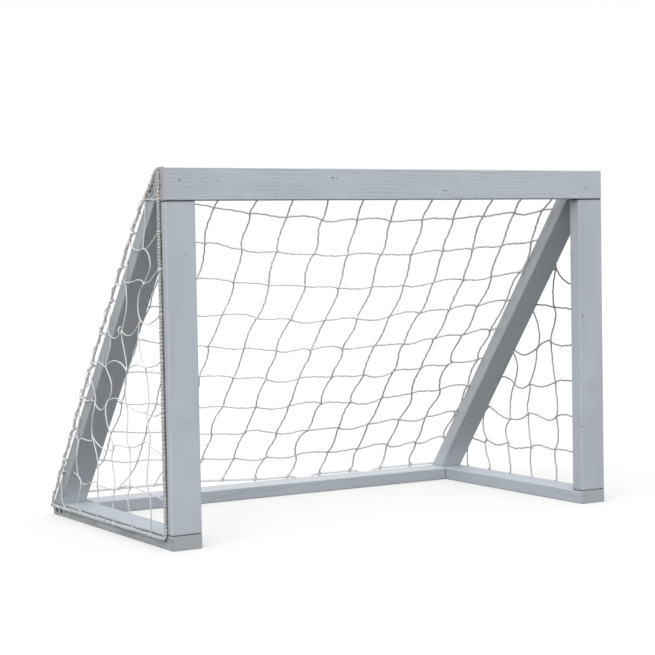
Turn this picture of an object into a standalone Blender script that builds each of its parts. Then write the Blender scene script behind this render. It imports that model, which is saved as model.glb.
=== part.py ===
"""Wooden soccer goal: a painted timber frame, a knotted net on its back and sides, and the net's cords.

Metres, +Z up. The mouth of the goal faces -Y, left and right are as seen from in front of it (left is -X),
and the origin is on the ground, in the middle of the goal's outer box. Distances called "back" are measured
from the front faces of the posts towards +Y.
"""

import math

import bmesh
import bpy
from mathutils import Matrix, Vector

# Clearance between two pieces that touch
GAP = 0.0003

# Overall frame
WIDTH = 1.500
DEPTH = 0.840

# Timber sections
POST_WIDTH = 0.090
POST_DEPTH = 0.045
POST_LENGTH = 0.906
CROSSBAR_HEIGHT = 0.092
CROSSBAR_DEPTH = 0.045
SIDE_BAR_WIDTH = 0.090
REAR_BAR_WIDTH = 0.100
BASE_THICKNESS = 0.040
BRACE_WIDTH = 0.083
BRACE_THICKNESS = 0.045
ARRIS_RADIUS = 0.0035
ARRIS_STEPS = 4
END_CHAMFER = 0.0015

# Braces: how far before the base's rear end the lower face starts, how far above the crossbar's underside
# it ends, and how much of the crossbar's height the head leaves free at the top
BRACE_FOOT_INSET = 0.062
BRACE_HEAD_RISE = 0.027
BRACE_TRIM = 0.022
BRACE_SPARE = 0.090

# Screws
SCREW_SIDES = 8
SCREW_SHANK_RADIUS = 0.0022
SCREW_HEAD_RADIUS = 0.0046
SCREW_HEAD_HEIGHT = 0.0030
SCREW_DRIVE_RADIUS = 0.0018
SCREW_DRIVE_DEPTH = 0.0015
SCREW_POINT = 0.006
SCREW_BITE = 0.035
BRACE_HEAD_SCREW_BITE = 0.028
COUNTERSINK = 0.0010
CROSSBAR_COUNTERBORE = 0.040
SIDE_COUNTERBORE = 0.045
BRACE_COUNTERBORE = 0.012
POST_SCREW_SPACING = 0.050
BRACE_HEAD_SCREW_SPACING = 0.020
BRACE_FOOT_SCREW_SPACING = 0.038
BRACE_SCREW_RISE = 0.018
BRACE_FOOT_SCREW_BACK = 0.017
REAR_SCREW_SPACING = 0.034
REAR_SCREW_Z = 0.015
REAR_SCREW_INSET = 0.045

# Cords that carry the net
ROPE_RADIUS = 0.0040
ROPE_BEVEL_STEPS = 1
POST_ROPE_BACK = 0.033
BASE_ROPE_Z = 0.028
BRACE_ROPE_CLEARANCE = 0.0055
BRACE_ROPE_BOW = 0.012
BRACE_ROPE_TUCK = 0.020
BRACE_ROPE_TUCK_SHARE = 0.12
BRACE_KNOT_TUCK = 1.22
BRACE_ROPE_STEPS = 24
ROPE_CORNER_BACK = 0.0065
ROPE_BEND = 0.014
ROPE_TOP_BEND = 0.008
ROPE_FOOT_BEND = 0.007
ROPE_BEND_STEPS = 5
SIDE_ROPE_TOP_DROP = 0.001
TOP_ROPE_RISE = 0.038
REAR_ROPE_Z = 0.030
REAR_ROPE_RISE = 0.016
REAR_ROPE_SLACK_RISE = 0.014
REAR_ROPE_SLACK_X = 0.0
REAR_ROPE_SLACK_RAMP = 0.250
TOP_ROPE_SAG = 0.003
ROPE_RAMP = 0.050

# Staples over the cords, each in the middle of the net's mesh that follows this column or row
STAPLE_WIRE = 0.0014
STAPLE_LEG = 0.009
POST_STAPLE_ROWS = (1, 4, 7)
SIDE_BAR_STAPLE_COLUMNS = (1, 3, 5)
CROSSBAR_STAPLE_COLUMNS = (1, 4, 8, 11)
REAR_BAR_STAPLE_COLUMNS = (7, 9)
REAR_END_STAPLE_INSET = 0.015

# Net twine
TWINE_RADIUS = 0.0013
KNOT_FACTOR = 1.4
SHARPEST_CORNER = 0.25

# Back net: its inner strands, the lengths of its outer meshes, and how far each row is pulled to the right
BACK_COLUMNS = 12
BACK_ROWS = 9
BACK_SIDE_MESH = 0.104
BACK_REAR_SIDE_MESH = 0.075
BACK_FIRST_MESH = 0.117
BACK_LAST_MESH = 0.115
BACK_EDGE_FIRST_MESH = 0.080
BACK_EDGE_LAST_MESH = 0.170
BACK_ROW_PULL = (-0.0155, -0.0155, -0.0045, 0.0085, 0.0065, -0.0015, 0.0065, 0.0145, 0.0145, 0.0205, 0.0266)
BACK_SAG = 0.028
BACK_TILT = 0.037
BACK_STRAY = 0.003
BACK_BOW = 0.045

# Side nets: their inner strands, and the lengths of their outer meshes
SIDE_COLUMNS = 6
SIDE_ROWS = 8
SIDE_FRONT_MESH = 0.0955
SIDE_REAR_MESH = 0.0968
SIDE_LOW_MESH = 0.109
SIDE_TOP_MESH = 0.1145
SIDE_MERGE = 0.012
BRACE_CORD_TRIES = 6
SIDE_STRAY = 0.009
SIDE_BOW = 0.075

# Colours and finish
PAINT = (0.43, 0.475, 0.51, 1.0)
ZINC = (0.55, 0.54, 0.52, 1.0)
CORD = (0.62, 0.62, 0.60, 1.0)
TWINE = (0.72, 0.72, 0.70, 1.0)

# Levels and lines that follow from the sizes above
POST_BOTTOM = BASE_THICKNESS + GAP
POST_TOP = POST_BOTTOM + POST_LENGTH
CROSSBAR_BOTTOM = POST_TOP + GAP
HEIGHT = CROSSBAR_BOTTOM + CROSSBAR_HEIGHT
BRACE_FOOT_BACK = DEPTH - BRACE_FOOT_INSET
BRACE_HEAD_Z = CROSSBAR_BOTTOM + BRACE_HEAD_RISE
BRACE_TOP = HEIGHT - BRACE_TRIM
TOP_ROPE_Z = CROSSBAR_BOTTOM + TOP_ROPE_RISE
ROPE_STAND = GAP + ROPE_RADIUS
STAPLE_REACH = ROPE_STAND + ROPE_RADIUS + GAP + STAPLE_WIRE
FRONT_Y = -(DEPTH + STAPLE_REACH) / 2
HALF_WIDTH = WIDTH / 2
SIDE_ROPE_X = HALF_WIDTH + ROPE_STAND
SIDE_CORNER_INSET = ROPE_STAND + 2 * TWINE_RADIUS
BRACE_RUN = BRACE_FOOT_BACK - POST_DEPTH
BRACE_RISE = BRACE_HEAD_Z - BASE_THICKNESS
BRACE_ALONG = Vector((0.0, -BRACE_RUN, BRACE_RISE)).normalized()
BRACE_OUT = Vector((0.0, BRACE_ALONG.z, -BRACE_ALONG.y))


def at(x, back, z):
    """The point that lies x to the right, this far behind the posts' front faces, and this high."""
    return Vector((x, FRONT_Y + back, z))


def clear_scene():
    for obj in list(bpy.data.objects):
        bpy.data.objects.remove(obj, do_unlink=True)


def finish(name, colour, roughness, metallic):
    """A Principled material for one piece."""
    material = bpy.data.materials.new(name + "_finish")
    material.use_nodes = True
    shader = material.node_tree.nodes["Principled BSDF"]
    shader.inputs["Base Color"].default_value = colour
    shader.inputs["Roughness"].default_value = roughness
    shader.inputs["Metallic"].default_value = metallic
    material.diffuse_color = colour
    return material


def add_object(name, data, colour, roughness, metallic=0.0):
    obj = bpy.data.objects.new(name, data)
    bpy.context.scene.collection.objects.link(obj)
    data.materials.append(finish(name, colour, roughness, metallic))
    return obj


def mesh_from(name, bm):
    bmesh.ops.recalc_face_normals(bm, faces=bm.faces)
    mesh = bpy.data.meshes.new(name)
    bm.to_mesh(mesh)
    bm.free()
    return mesh


def loft(bm, rings):
    """Joins rings of points into one closed skin, with a flat face at each end. Returns the new vertices."""
    loops = [[bm.verts.new(point) for point in ring] for ring in rings]
    for before, after in zip(loops, loops[1:]):
        for i in range(len(before)):
            j = (i + 1) % len(before)
            bm.faces.new((before[i], before[j], after[j], after[i]))
    bm.faces.new(loops[0])
    bm.faces.new(loops[-1])
    return [vert for loop in loops for vert in loop]


# Timber

def rounded_rectangle(half_a, half_b, radius):
    """Corner points of a rectangle with rounded corners, as (a, b) pairs."""
    points = []
    for corner, (sa, sb) in enumerate(((1, 1), (-1, 1), (-1, -1), (1, -1))):
        for step in range(ARRIS_STEPS + 1):
            angle = math.radians(90 * (corner + step / ARRIS_STEPS))
            a = sa * (half_a - radius) + radius * math.cos(angle)
            b = sb * (half_b - radius) + radius * math.sin(angle)
            points.append((a, b))
    return points


def bar(bm, start, end, across, half_across, half_through):
    """A straight timber with rounded long edges and small chamfers at its ends."""
    along = (end - start).normalized()
    through = along.cross(across)
    length = (end - start).length
    rings = []
    stations = ((0, END_CHAMFER), (END_CHAMFER, 0), (length - END_CHAMFER, 0), (length, END_CHAMFER))
    for distance, inset in stations:
        outline = rounded_rectangle(half_across - inset, half_through - inset, ARRIS_RADIUS - inset)
        rings.append([start + along * distance + across * a + through * b for a, b in outline])
    loft(bm, rings)


def timber(name, start, end, across, half_across, half_through):
    bm = bmesh.new()
    bar(bm, start, end, across, half_across, half_through)
    return add_object(name, mesh_from(name, bm), PAINT, 0.55)


def cut_flat(bm, point, normal):
    """Saws off what lies beyond a plane and closes the cut."""
    geometry = bm.verts[:] + bm.edges[:] + bm.faces[:]
    bmesh.ops.bisect_plane(bm, geom=geometry, plane_co=point, plane_no=normal, clear_outer=True)
    open_edges = [edge for edge in bm.edges if edge.is_boundary]
    bmesh.ops.edgeloop_fill(bm, edges=open_edges)


def brace(name, side):
    """A diagonal from the back of the post and crossbar down to the top of the base's rear corner."""
    centre_x = side * (HALF_WIDTH - BRACE_WIDTH / 2)
    foot = at(centre_x, BRACE_FOOT_BACK, BASE_THICKNESS) + BRACE_OUT * BRACE_THICKNESS / 2
    head = at(centre_x, POST_DEPTH, BRACE_HEAD_Z) + BRACE_OUT * BRACE_THICKNESS / 2
    bm = bmesh.new()
    start = foot - BRACE_ALONG * BRACE_SPARE
    end = head + BRACE_ALONG * BRACE_SPARE
    bar(bm, start, end, Vector((1, 0, 0)), BRACE_WIDTH / 2, BRACE_THICKNESS / 2)
    cut_flat(bm, at(0, 0, BASE_THICKNESS + GAP), Vector((0, 0, -1)))
    cut_flat(bm, at(0, POST_DEPTH + GAP, 0), Vector((0, -1, 0)))
    cut_flat(bm, at(0, 0, BRACE_TOP), Vector((0, 0, 1)))
    return add_object(name, mesh_from(name, bm), PAINT, 0.55)


def make_timbers():
    middle = CROSSBAR_DEPTH / 2
    crossbar_z = CROSSBAR_BOTTOM + CROSSBAR_HEIGHT / 2
    base_z = BASE_THICKNESS / 2
    rear_back = DEPTH - REAR_BAR_WIDTH / 2
    inner = HALF_WIDTH - SIDE_BAR_WIDTH - GAP
    across = Vector((1, 0, 0))
    start = at(-HALF_WIDTH, middle, crossbar_z)
    end = at(HALF_WIDTH, middle, crossbar_z)
    crossbar = timber("crossbar", start, end, Vector((0, 0, 1)), CROSSBAR_HEIGHT / 2, CROSSBAR_DEPTH / 2)
    start = at(-inner, rear_back, base_z)
    end = at(inner, rear_back, base_z)
    rear_bar = timber("rear_bar", start, end, Vector((0, 1, 0)), REAR_BAR_WIDTH / 2, BASE_THICKNESS / 2)
    timbers = {"crossbar": crossbar, "rear_bar": rear_bar}
    for label, side in (("left", -1), ("right", 1)):
        post_x = side * (HALF_WIDTH - POST_WIDTH / 2)
        bar_x = side * (HALF_WIDTH - SIDE_BAR_WIDTH / 2)
        post = "post_" + label
        side_bar = "side_bar_" + label
        start = at(post_x, POST_DEPTH / 2, POST_BOTTOM)
        end = at(post_x, POST_DEPTH / 2, POST_TOP)
        timbers[post] = timber(post, start, end, across, POST_WIDTH / 2, POST_DEPTH / 2)
        start = at(bar_x, 0, base_z)
        end = at(bar_x, DEPTH, base_z)
        timbers[side_bar] = timber(side_bar, start, end, across, SIDE_BAR_WIDTH / 2, BASE_THICKNESS / 2)
        timbers["brace_" + label] = brace("brace_" + label, side)
    return timbers


# Fixings

def turned(bm, profile, place):
    """Turns (radius, distance along the axis) points about the local Z axis. Both ends lie on the axis."""
    rings = []
    for radius, along in profile[1:-1]:
        ring = []
        for step in range(SCREW_SIDES):
            angle = math.tau * step / SCREW_SIDES
            ring.append(place @ Vector((radius * math.cos(angle), radius * math.sin(angle), along)))
        rings.append([bm.verts.new(point) for point in ring])
    ends = [bm.verts.new(place @ Vector((0, 0, profile[i][1]))) for i in (0, -1)]
    for i in range(SCREW_SIDES):
        j = (i + 1) % SCREW_SIDES
        bm.faces.new((ends[0], rings[0][i], rings[0][j]))
        bm.faces.new((ends[1], rings[-1][j], rings[-1][i]))
        for before, after in zip(rings, rings[1:]):
            bm.faces.new((before[i], after[i], after[j], before[j]))


def axis_frame(point, direction):
    """A frame at the point whose local +Z runs along the direction."""
    return Matrix.Translation(point) @ direction.to_track_quat("Z", "Y").to_matrix().to_4x4()


def screw(name, head_point, direction, length):
    """A countersunk wood screw. head_point is the middle of its head's top. It is driven along direction."""
    shank = SCREW_SHANK_RADIUS
    profile = [
        (0, SCREW_DRIVE_DEPTH),
        (SCREW_DRIVE_RADIUS, SCREW_DRIVE_DEPTH),
        (SCREW_DRIVE_RADIUS, 0),
        (SCREW_HEAD_RADIUS, 0),
        (shank, SCREW_HEAD_HEIGHT),
        (shank, length - SCREW_POINT),
        (0, length),
    ]
    bm = bmesh.new()
    turned(bm, profile, axis_frame(head_point, direction))
    return add_object(name, mesh_from(name, bm), ZINC, 0.35, 1.0)


def screw_hole(bm, head_point, direction, length, bore):
    """The space that a screw needs: its shank and head with clearance, and a bore out past its head."""
    shank = SCREW_SHANK_RADIUS + GAP
    head = SCREW_HEAD_RADIUS + GAP
    profile = [
        (0, -bore),
        (head, -bore),
        (head, GAP),
        (shank, SCREW_HEAD_HEIGHT + GAP),
        (shank, length - SCREW_POINT),
        (0, length + 2 * GAP),
    ]
    turned(bm, profile, axis_frame(head_point, direction))


def staple_outline():
    """A staple in its own plane, as (across the cord, height over the timber) points."""
    inner = ROPE_RADIUS + GAP
    outer = inner + STAPLE_WIRE
    crown = 2 * ROPE_RADIUS + 2 * GAP
    tip = -STAPLE_LEG
    shoulder = tip + 2 * STAPLE_WIRE
    half = (inner + outer) / 2
    return [
        (outer, crown + STAPLE_WIRE),
        (-outer, crown + STAPLE_WIRE),
        (-outer, shoulder),
        (-half, tip),
        (-inner, shoulder),
        (-inner, crown),
        (inner, crown),
        (inner, shoulder),
        (half, tip),
        (outer, shoulder),
    ]


def staple(name, point, out, across):
    """A wire staple over a cord: point is on the timber under the cord, and out is that face's normal."""
    width = out.cross(across) * STAPLE_WIRE / 2
    bm = bmesh.new()
    rings = [[point + across * a + out * h + width * end for a, h in staple_outline()] for end in (-1, 1)]
    loft(bm, rings)
    return add_object(name, mesh_from(name, bm), ZINC, 0.4, 1.0)


def staple_holes(bm, point, out, across):
    """The two pockets that a staple's legs sit in."""
    centre = ROPE_RADIUS + GAP + STAPLE_WIRE / 2
    half = STAPLE_WIRE / 2 + GAP
    width = out.cross(across) * half
    for side in (-1, 1):
        middle = point + across * side * centre
        rings = []
        for height in (STAPLE_WIRE, -STAPLE_LEG - GAP):
            base = middle + out * height
            corners = ((1, 1), (-1, 1), (-1, -1), (1, -1))
            rings.append([base + across * a * half + width * b for a, b in corners])
        loft(bm, rings)


def screw_list():
    """Every screw, as (name, head point, direction, length, bore past its head, the timbers it holds)."""
    screws = []
    down = Vector((0, 0, -1))
    up = Vector((0, 0, 1))
    forward = Vector((0, -1, 0))
    crossbar_head_z = HEIGHT - CROSSBAR_COUNTERBORE
    crossbar_length = CROSSBAR_HEIGHT - CROSSBAR_COUNTERBORE + SCREW_BITE
    base_length = BASE_THICKNESS - COUNTERSINK + SCREW_BITE
    brace_z = BRACE_HEAD_Z + BRACE_SCREW_RISE
    brace_back_face = POST_DEPTH + (BRACE_THICKNESS - BRACE_SCREW_RISE * BRACE_OUT.z) / BRACE_OUT.y
    brace_head_back = brace_back_face - BRACE_COUNTERBORE
    brace_length = brace_head_back - POST_DEPTH + BRACE_HEAD_SCREW_BITE
    rear_length = SIDE_BAR_WIDTH - SIDE_COUNTERBORE + SCREW_BITE
    crossbar_bore = CROSSBAR_COUNTERBORE + ARRIS_RADIUS
    brace_bore = 2 * BRACE_COUNTERBORE
    foot_back = BRACE_FOOT_BACK + BRACE_FOOT_SCREW_BACK
    for label, side in (("left", -1), ("right", 1)):
        post_x = side * (HALF_WIDTH - POST_WIDTH / 2)
        brace_x = side * (HALF_WIDTH - BRACE_WIDTH / 2)
        inward = Vector((-side, 0, 0))
        post = "post_" + label
        brace_name = "brace_" + label
        side_bar = "side_bar_" + label
        for number, offset in ((1, -0.5), (2, 0.5)):
            tag = f"{label}_{number}"
            x = post_x + offset * POST_SCREW_SPACING
            head = at(x, POST_DEPTH / 2, crossbar_head_z)
            holds = ("crossbar", post)
            screws.append(("crossbar_screw_" + tag, head, down, crossbar_length, crossbar_bore, holds))
            head = at(x, POST_DEPTH / 2, COUNTERSINK)
            holds = (side_bar, post)
            screws.append(("post_foot_screw_" + tag, head, up, base_length, ARRIS_RADIUS, holds))
            head = at(brace_x + offset * BRACE_HEAD_SCREW_SPACING, brace_head_back, brace_z)
            holds = (brace_name, "crossbar")
            screws.append(("brace_head_screw_" + tag, head, forward, brace_length, brace_bore, holds))
            head = at(brace_x + offset * BRACE_FOOT_SCREW_SPACING, foot_back, COUNTERSINK)
            holds = (side_bar, brace_name)
            screws.append(("brace_foot_screw_" + tag, head, up, base_length, ARRIS_RADIUS, holds))
            back = DEPTH - REAR_SCREW_INSET + offset * REAR_SCREW_SPACING
            head = at(side * (HALF_WIDTH - SIDE_COUNTERBORE), back, REAR_SCREW_Z)
            holds = (side_bar, "rear_bar")
            bore = SIDE_COUNTERBORE + ARRIS_RADIUS
            screws.append(("rear_bar_screw_" + tag, head, inward, rear_length, bore, holds))
    return screws


def top_staple_xs():
    return [back_column_x(column + 0.5, 0) for column in CROSSBAR_STAPLE_COLUMNS]


def rear_staple_xs():
    """The rear cord's staples: one in the end of each side bar, and the rear bar's own between them."""
    end = HALF_WIDTH - REAR_END_STAPLE_INSET
    inner = [back_column_x(column + 0.5, BACK_ROWS + 1) for column in REAR_BAR_STAPLE_COLUMNS]
    return [-end, *inner, end]


def staple_list():
    """Every staple, as (name, point on the face, the face's normal, direction across the cord, timber)."""
    staples = []
    up = Vector((0, 0, 1))
    back = Vector((0, 1, 0))
    for label, side in (("left", -1), ("right", 1)):
        out = Vector((side, 0, 0))
        face_x = side * HALF_WIDTH
        for number, row in enumerate(POST_STAPLE_ROWS, 1):
            point = at(face_x, POST_ROPE_BACK, side_row_z(row + 0.5))
            staples.append((f"post_staple_{label}_{number}", point, out, back, "post_" + label))
        for number, column in enumerate(SIDE_BAR_STAPLE_COLUMNS, 1):
            point = at(face_x, side_column_back(column + 0.5), BASE_ROPE_Z)
            staples.append((f"side_bar_staple_{label}_{number}", point, out, up, "side_bar_" + label))
        point = at(face_x, POST_ROPE_BACK, CROSSBAR_BOTTOM + CROSSBAR_HEIGHT / 2)
        staples.append((f"crossbar_end_staple_{label}", point, out, back, "crossbar"))
    for number, x in enumerate(top_staple_xs(), 1):
        point = at(x, CROSSBAR_DEPTH, TOP_ROPE_Z)
        staples.append((f"crossbar_staple_{number}", point, back, up, "crossbar"))
    rear_names = ("side_bar_left", "rear_bar", "rear_bar", "side_bar_right")
    for number, (x, timber_name) in enumerate(zip(rear_staple_xs(), rear_names), 1):
        staples.append((f"rear_staple_{number}", at(x, DEPTH, REAR_ROPE_Z), back, up, timber_name))
    return staples


def add_fixings(timbers):
    """Makes the screws and staples and cuts their holes. Each timber has one cutter for all its holes."""
    cutters = {name: bmesh.new() for name in timbers}
    for name, head_point, direction, length, bore, passes in screw_list():
        screw(name, head_point, direction, length)
        for timber_name in passes:
            screw_hole(cutters[timber_name], head_point, direction, length, bore)
    for name, point, out, across, timber_name in staple_list():
        staple(name, point, out, across)
        staple_holes(cutters[timber_name], point, out, across)
    for timber_name, bm in cutters.items():
        cutter = bpy.data.objects.new("holes_" + timber_name, mesh_from("holes_" + timber_name, bm))
        bpy.context.scene.collection.objects.link(cutter)
        cutter.hide_render = True
        cutter.display_type = "WIRE"
        cut = timbers[timber_name].modifiers.new("holes", "BOOLEAN")
        cut.operation = "DIFFERENCE"
        cut.object = cutter


# Cords

def rope(name, points, closed):
    curve = bpy.data.curves.new(name, "CURVE")
    curve.dimensions = "3D"
    curve.bevel_depth = ROPE_RADIUS
    curve.bevel_resolution = ROPE_BEVEL_STEPS
    curve.use_fill_caps = not closed
    spline = curve.splines.new("POLY")
    spline.points.add(len(points) - 1)
    for spot, point in zip(spline.points, points):
        spot.co = (*point, 1.0)
    spline.use_cyclic_u = closed
    return add_object(name, curve, CORD, 0.85)


def brace_rope_line():
    """The straight run of the side cord behind the brace: its upper and lower ends, as (back, z)."""
    out = BRACE_THICKNESS + BRACE_ROPE_CLEARANCE + ROPE_RADIUS
    upper = Vector((POST_DEPTH + out * BRACE_OUT.y, BRACE_HEAD_Z + out * BRACE_OUT.z))
    lower = Vector((DEPTH + ROPE_CORNER_BACK, BASE_ROPE_Z))
    return upper, lower


def brace_cord(share, inset=0.0):
    """A point on the side cord behind the brace, as (back, z), with share from 0 at its upper end to 1.

    The cord is slack there and bows away from the brace, and beside the brace's head it is tucked in. An inset
    moves the point in towards the side net, whose knots are tucked in further, clear of the slanting cord.
    """
    upper, lower = brace_rope_line()
    along = (lower - upper).normalized()
    out = Vector((-along.y, along.x))
    tuck = BRACE_ROPE_TUCK * max(0, 1 - share / BRACE_ROPE_TUCK_SHARE) ** 2
    if inset > 0:
        tuck *= BRACE_KNOT_TUCK
    return upper.lerp(lower, share) + out * (BRACE_ROPE_BOW * math.sin(math.pi * share) - tuck - inset)


def brace_cord_where(axis, value, inset):
    """The point of that line where back (axis 0) or z (axis 1) has this value."""
    upper, lower = brace_rope_line()
    share = 0.5
    for _ in range(BRACE_CORD_TRIES):
        share += (value - brace_cord(share, inset)[axis]) / (lower[axis] - upper[axis])
    return brace_cord(share, inset)


def side_rope_corners():
    """The corners of the side cord's loop, as (back, z, bend radius), from the base's front up the post."""
    upper = brace_cord(0)
    lower = brace_cord(1)
    return [
        (POST_ROPE_BACK, BASE_ROPE_Z, ROPE_BEND),
        (POST_ROPE_BACK, HEIGHT - SIDE_ROPE_TOP_DROP, ROPE_TOP_BEND),
        (upper.x, upper.y, ROPE_BEND),
        (lower.x, lower.y, ROPE_FOOT_BEND),
    ]


def side_rope_points(side):
    """The closed loop of the side cord, with each corner turned on an arc."""
    corners = side_rope_corners()
    upper = brace_cord(0)
    points = []
    for i, (back, z, radius) in enumerate(corners):
        here = Vector((back, z))
        before = Vector(corners[i - 1][:2])
        after = Vector(corners[(i + 1) % len(corners)][:2])
        to_before = (before - here).normalized()
        to_after = (after - here).normalized()
        half_turn = to_before.angle(to_after) / 2
        reach = radius / math.tan(half_turn)
        bisector = (to_before + to_after).normalized()
        centre = here + bisector * reach / math.cos(half_turn)
        start = here + to_before * reach - centre
        end = here + to_after * reach - centre
        for step in range(ROPE_BEND_STEPS + 1):
            spoke = start.lerp(end, step / ROPE_BEND_STEPS).normalized() * start.length
            points.append(at(side * SIDE_ROPE_X, *(centre + spoke)))
        if here == upper:
            shares = [step / BRACE_ROPE_STEPS for step in range(1, BRACE_ROPE_STEPS)]
            points += [at(side * SIDE_ROPE_X, *brace_cord(share)) for share in shares]
    return points


def freed(x, staples):
    """From 0 at a staple to 1 where a cord is clear of every staple."""
    nearest = min(abs(x - staple_x) for staple_x in staples)
    return (1 - math.cos(math.pi * min(1, nearest / ROPE_RAMP))) / 2


def rear_rope_z(x):
    """The rear cord is held down at its staples. The net draws it up between them, most at its left."""
    slack = min(1, max(0, (REAR_ROPE_SLACK_X - x) / REAR_ROPE_SLACK_RAMP))
    return REAR_ROPE_Z + (REAR_ROPE_RISE + REAR_ROPE_SLACK_RISE * slack) * freed(x, rear_staple_xs())


def top_rope_z(x):
    """The upper cord sags a little between its staples."""
    return TOP_ROPE_Z - TOP_ROPE_SAG * freed(x, top_staple_xs())


def straight_rope(name, end, back, height, bends):
    """A cord across the goal, whose height is a function of x, with points where that height changes."""
    xs = sorted(x for x in bends if abs(x) < end)
    return rope(name, [at(x, back, height(x)) for x in (-end, *xs, end)], False)


def staple_bends(staples):
    return [x + ROPE_RAMP * step / 2 for x in staples for step in range(-2, 3)]


def make_ropes():
    rope("side_cord_left", side_rope_points(-1), True)
    rope("side_cord_right", side_rope_points(1), True)
    end = HALF_WIDTH - BRACE_WIDTH - GAP
    bends = staple_bends(top_staple_xs())
    straight_rope("upper_cord", end, CROSSBAR_DEPTH + ROPE_STAND, top_rope_z, bends)
    end = HALF_WIDTH - GAP
    bends = staple_bends(rear_staple_xs())
    bends += [REAR_ROPE_SLACK_X - REAR_ROPE_SLACK_RAMP, REAR_ROPE_SLACK_X]
    straight_rope("rear_cord", end, DEPTH + ROPE_STAND, rear_rope_z, bends)


# Net

def stray(i, j, turn):
    """A steady value from -1 to 1 for a place in the net, so that the meshes come out uneven."""
    return math.sin(2.17 * i + 3.61 * j + 1.9 * math.sin(1.31 * i - 2.3 * j) + turn)


class Sheet:
    """A flat knotted net: knots joined by twine of square section, made as one closed skin."""

    def __init__(self, across, down):
        self.across = across
        self.down = down
        self.out = across.cross(down).normalized()
        self.knots = {}
        self.facings = {}
        self.strands = []

    def knot(self, key, point, facing=None):
        """Places a knot. One that ends a strand on a cord faces straight away from the cord."""
        self.knots[key] = point
        if facing is not None:
            self.facings[key] = facing

    def strand(self, a, b, middle):
        self.strands.append((a, b, middle))

    def bowed_strand(self, a, b, aside, bow):
        """A strand that bows to one side by this share of its length."""
        start, end = self.knots[a], self.knots[b]
        self.strand(a, b, (start + end) / 2 + aside * (end - start).length * bow)

    def angle(self, start, end):
        way = end - start
        return math.atan2(way.dot(self.down), way.dot(self.across))

    def corner(self, point, before, after):
        """Where the edges of two neighbouring strands meet at a knot."""
        spread = (after - before) % math.tau
        if spread < 1e-6:
            spread = math.tau
        middle = before + spread / 2
        reach = TWINE_RADIUS / max(math.sin(spread / 2), SHARPEST_CORNER)
        return point + (self.across * math.cos(middle) + self.down * math.sin(middle)) * reach

    def square_ring(self, bm, point, angle, half):
        """Four vertices of the twine's section: (right low, right high, left high, left low)."""
        left = self.down * math.cos(angle) - self.across * math.sin(angle)
        sides = ((-1, -1), (-1, 1), (1, 1), (1, -1))
        return [bm.verts.new(point + left * half * a + self.out * half * b) for a, b in sides]

    def hub_rings(self, bm, key):
        """The section where each strand leaves a knot, by strand and end. It also closes the knot."""
        point = self.knots[key]
        leaving = []
        for index, (a, b, middle) in enumerate(self.strands):
            if a == key:
                leaving.append((self.angle(point, middle), index, 0))
            if b == key:
                leaving.append((self.angle(point, middle), index, 1))
        leaving.sort()
        rings = {}
        if len(leaving) == 1:
            angle, index, end = leaving[0]
            if key in self.facings:
                angle = self.angle(point, point + self.facings[key])
            ring = self.square_ring(bm, point, angle, TWINE_RADIUS * KNOT_FACTOR)
            bm.faces.new(ring)
            rings[(index, end)] = ring
            return rings
        depth = self.out * TWINE_RADIUS * KNOT_FACTOR
        corners = []
        for i, (angle, _, _) in enumerate(leaving):
            place = self.corner(point, angle, leaving[(i + 1) % len(leaving)][0])
            corners.append((bm.verts.new(place - depth), bm.verts.new(place + depth)))
        for i, (_, index, end) in enumerate(leaving):
            right = corners[i - 1]
            left = corners[i]
            rings[(index, end)] = [right[0], right[1], left[1], left[0]]
        if len(leaving) > 2:
            bm.faces.new([low for low, _ in corners])
            bm.faces.new([high for _, high in corners])
        return rings

    def build(self, name):
        bm = bmesh.new()
        rings = {}
        for key in self.knots:
            rings.update(self.hub_rings(bm, key))
        for index, (a, b, middle) in enumerate(self.strands):
            way = self.angle(self.knots[a], self.knots[b])
            centre = self.square_ring(bm, middle, way, TWINE_RADIUS)
            first = rings[(index, 0)]
            other = rings[(index, 1)]
            last = [other[3], other[2], other[1], other[0]]
            for before, after in ((first, centre), (centre, last)):
                for i in range(4):
                    j = (i + 1) % 4
                    bm.faces.new((before[i], before[j], after[j], after[i]))
        return add_object(name, mesh_from(name, bm), TWINE, 0.8)


def back_column_x(i, j):
    """Where column i of the back net crosses row j. Columns count from the left and rows from the top."""
    side_mesh = BACK_REAR_SIDE_MESH if j > BACK_ROWS else BACK_SIDE_MESH
    pitch = (WIDTH - 2 * side_mesh) / (BACK_COLUMNS - 1)
    return (i - (BACK_COLUMNS + 1) / 2) * pitch + BACK_ROW_PULL[j]


def back_row(j, first, last, length):
    """How far along a line of this length row j crosses it, with first and last the meshes at its ends."""
    return first + (length - first - last) * (j - 1) / (BACK_ROWS - 1)


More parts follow.
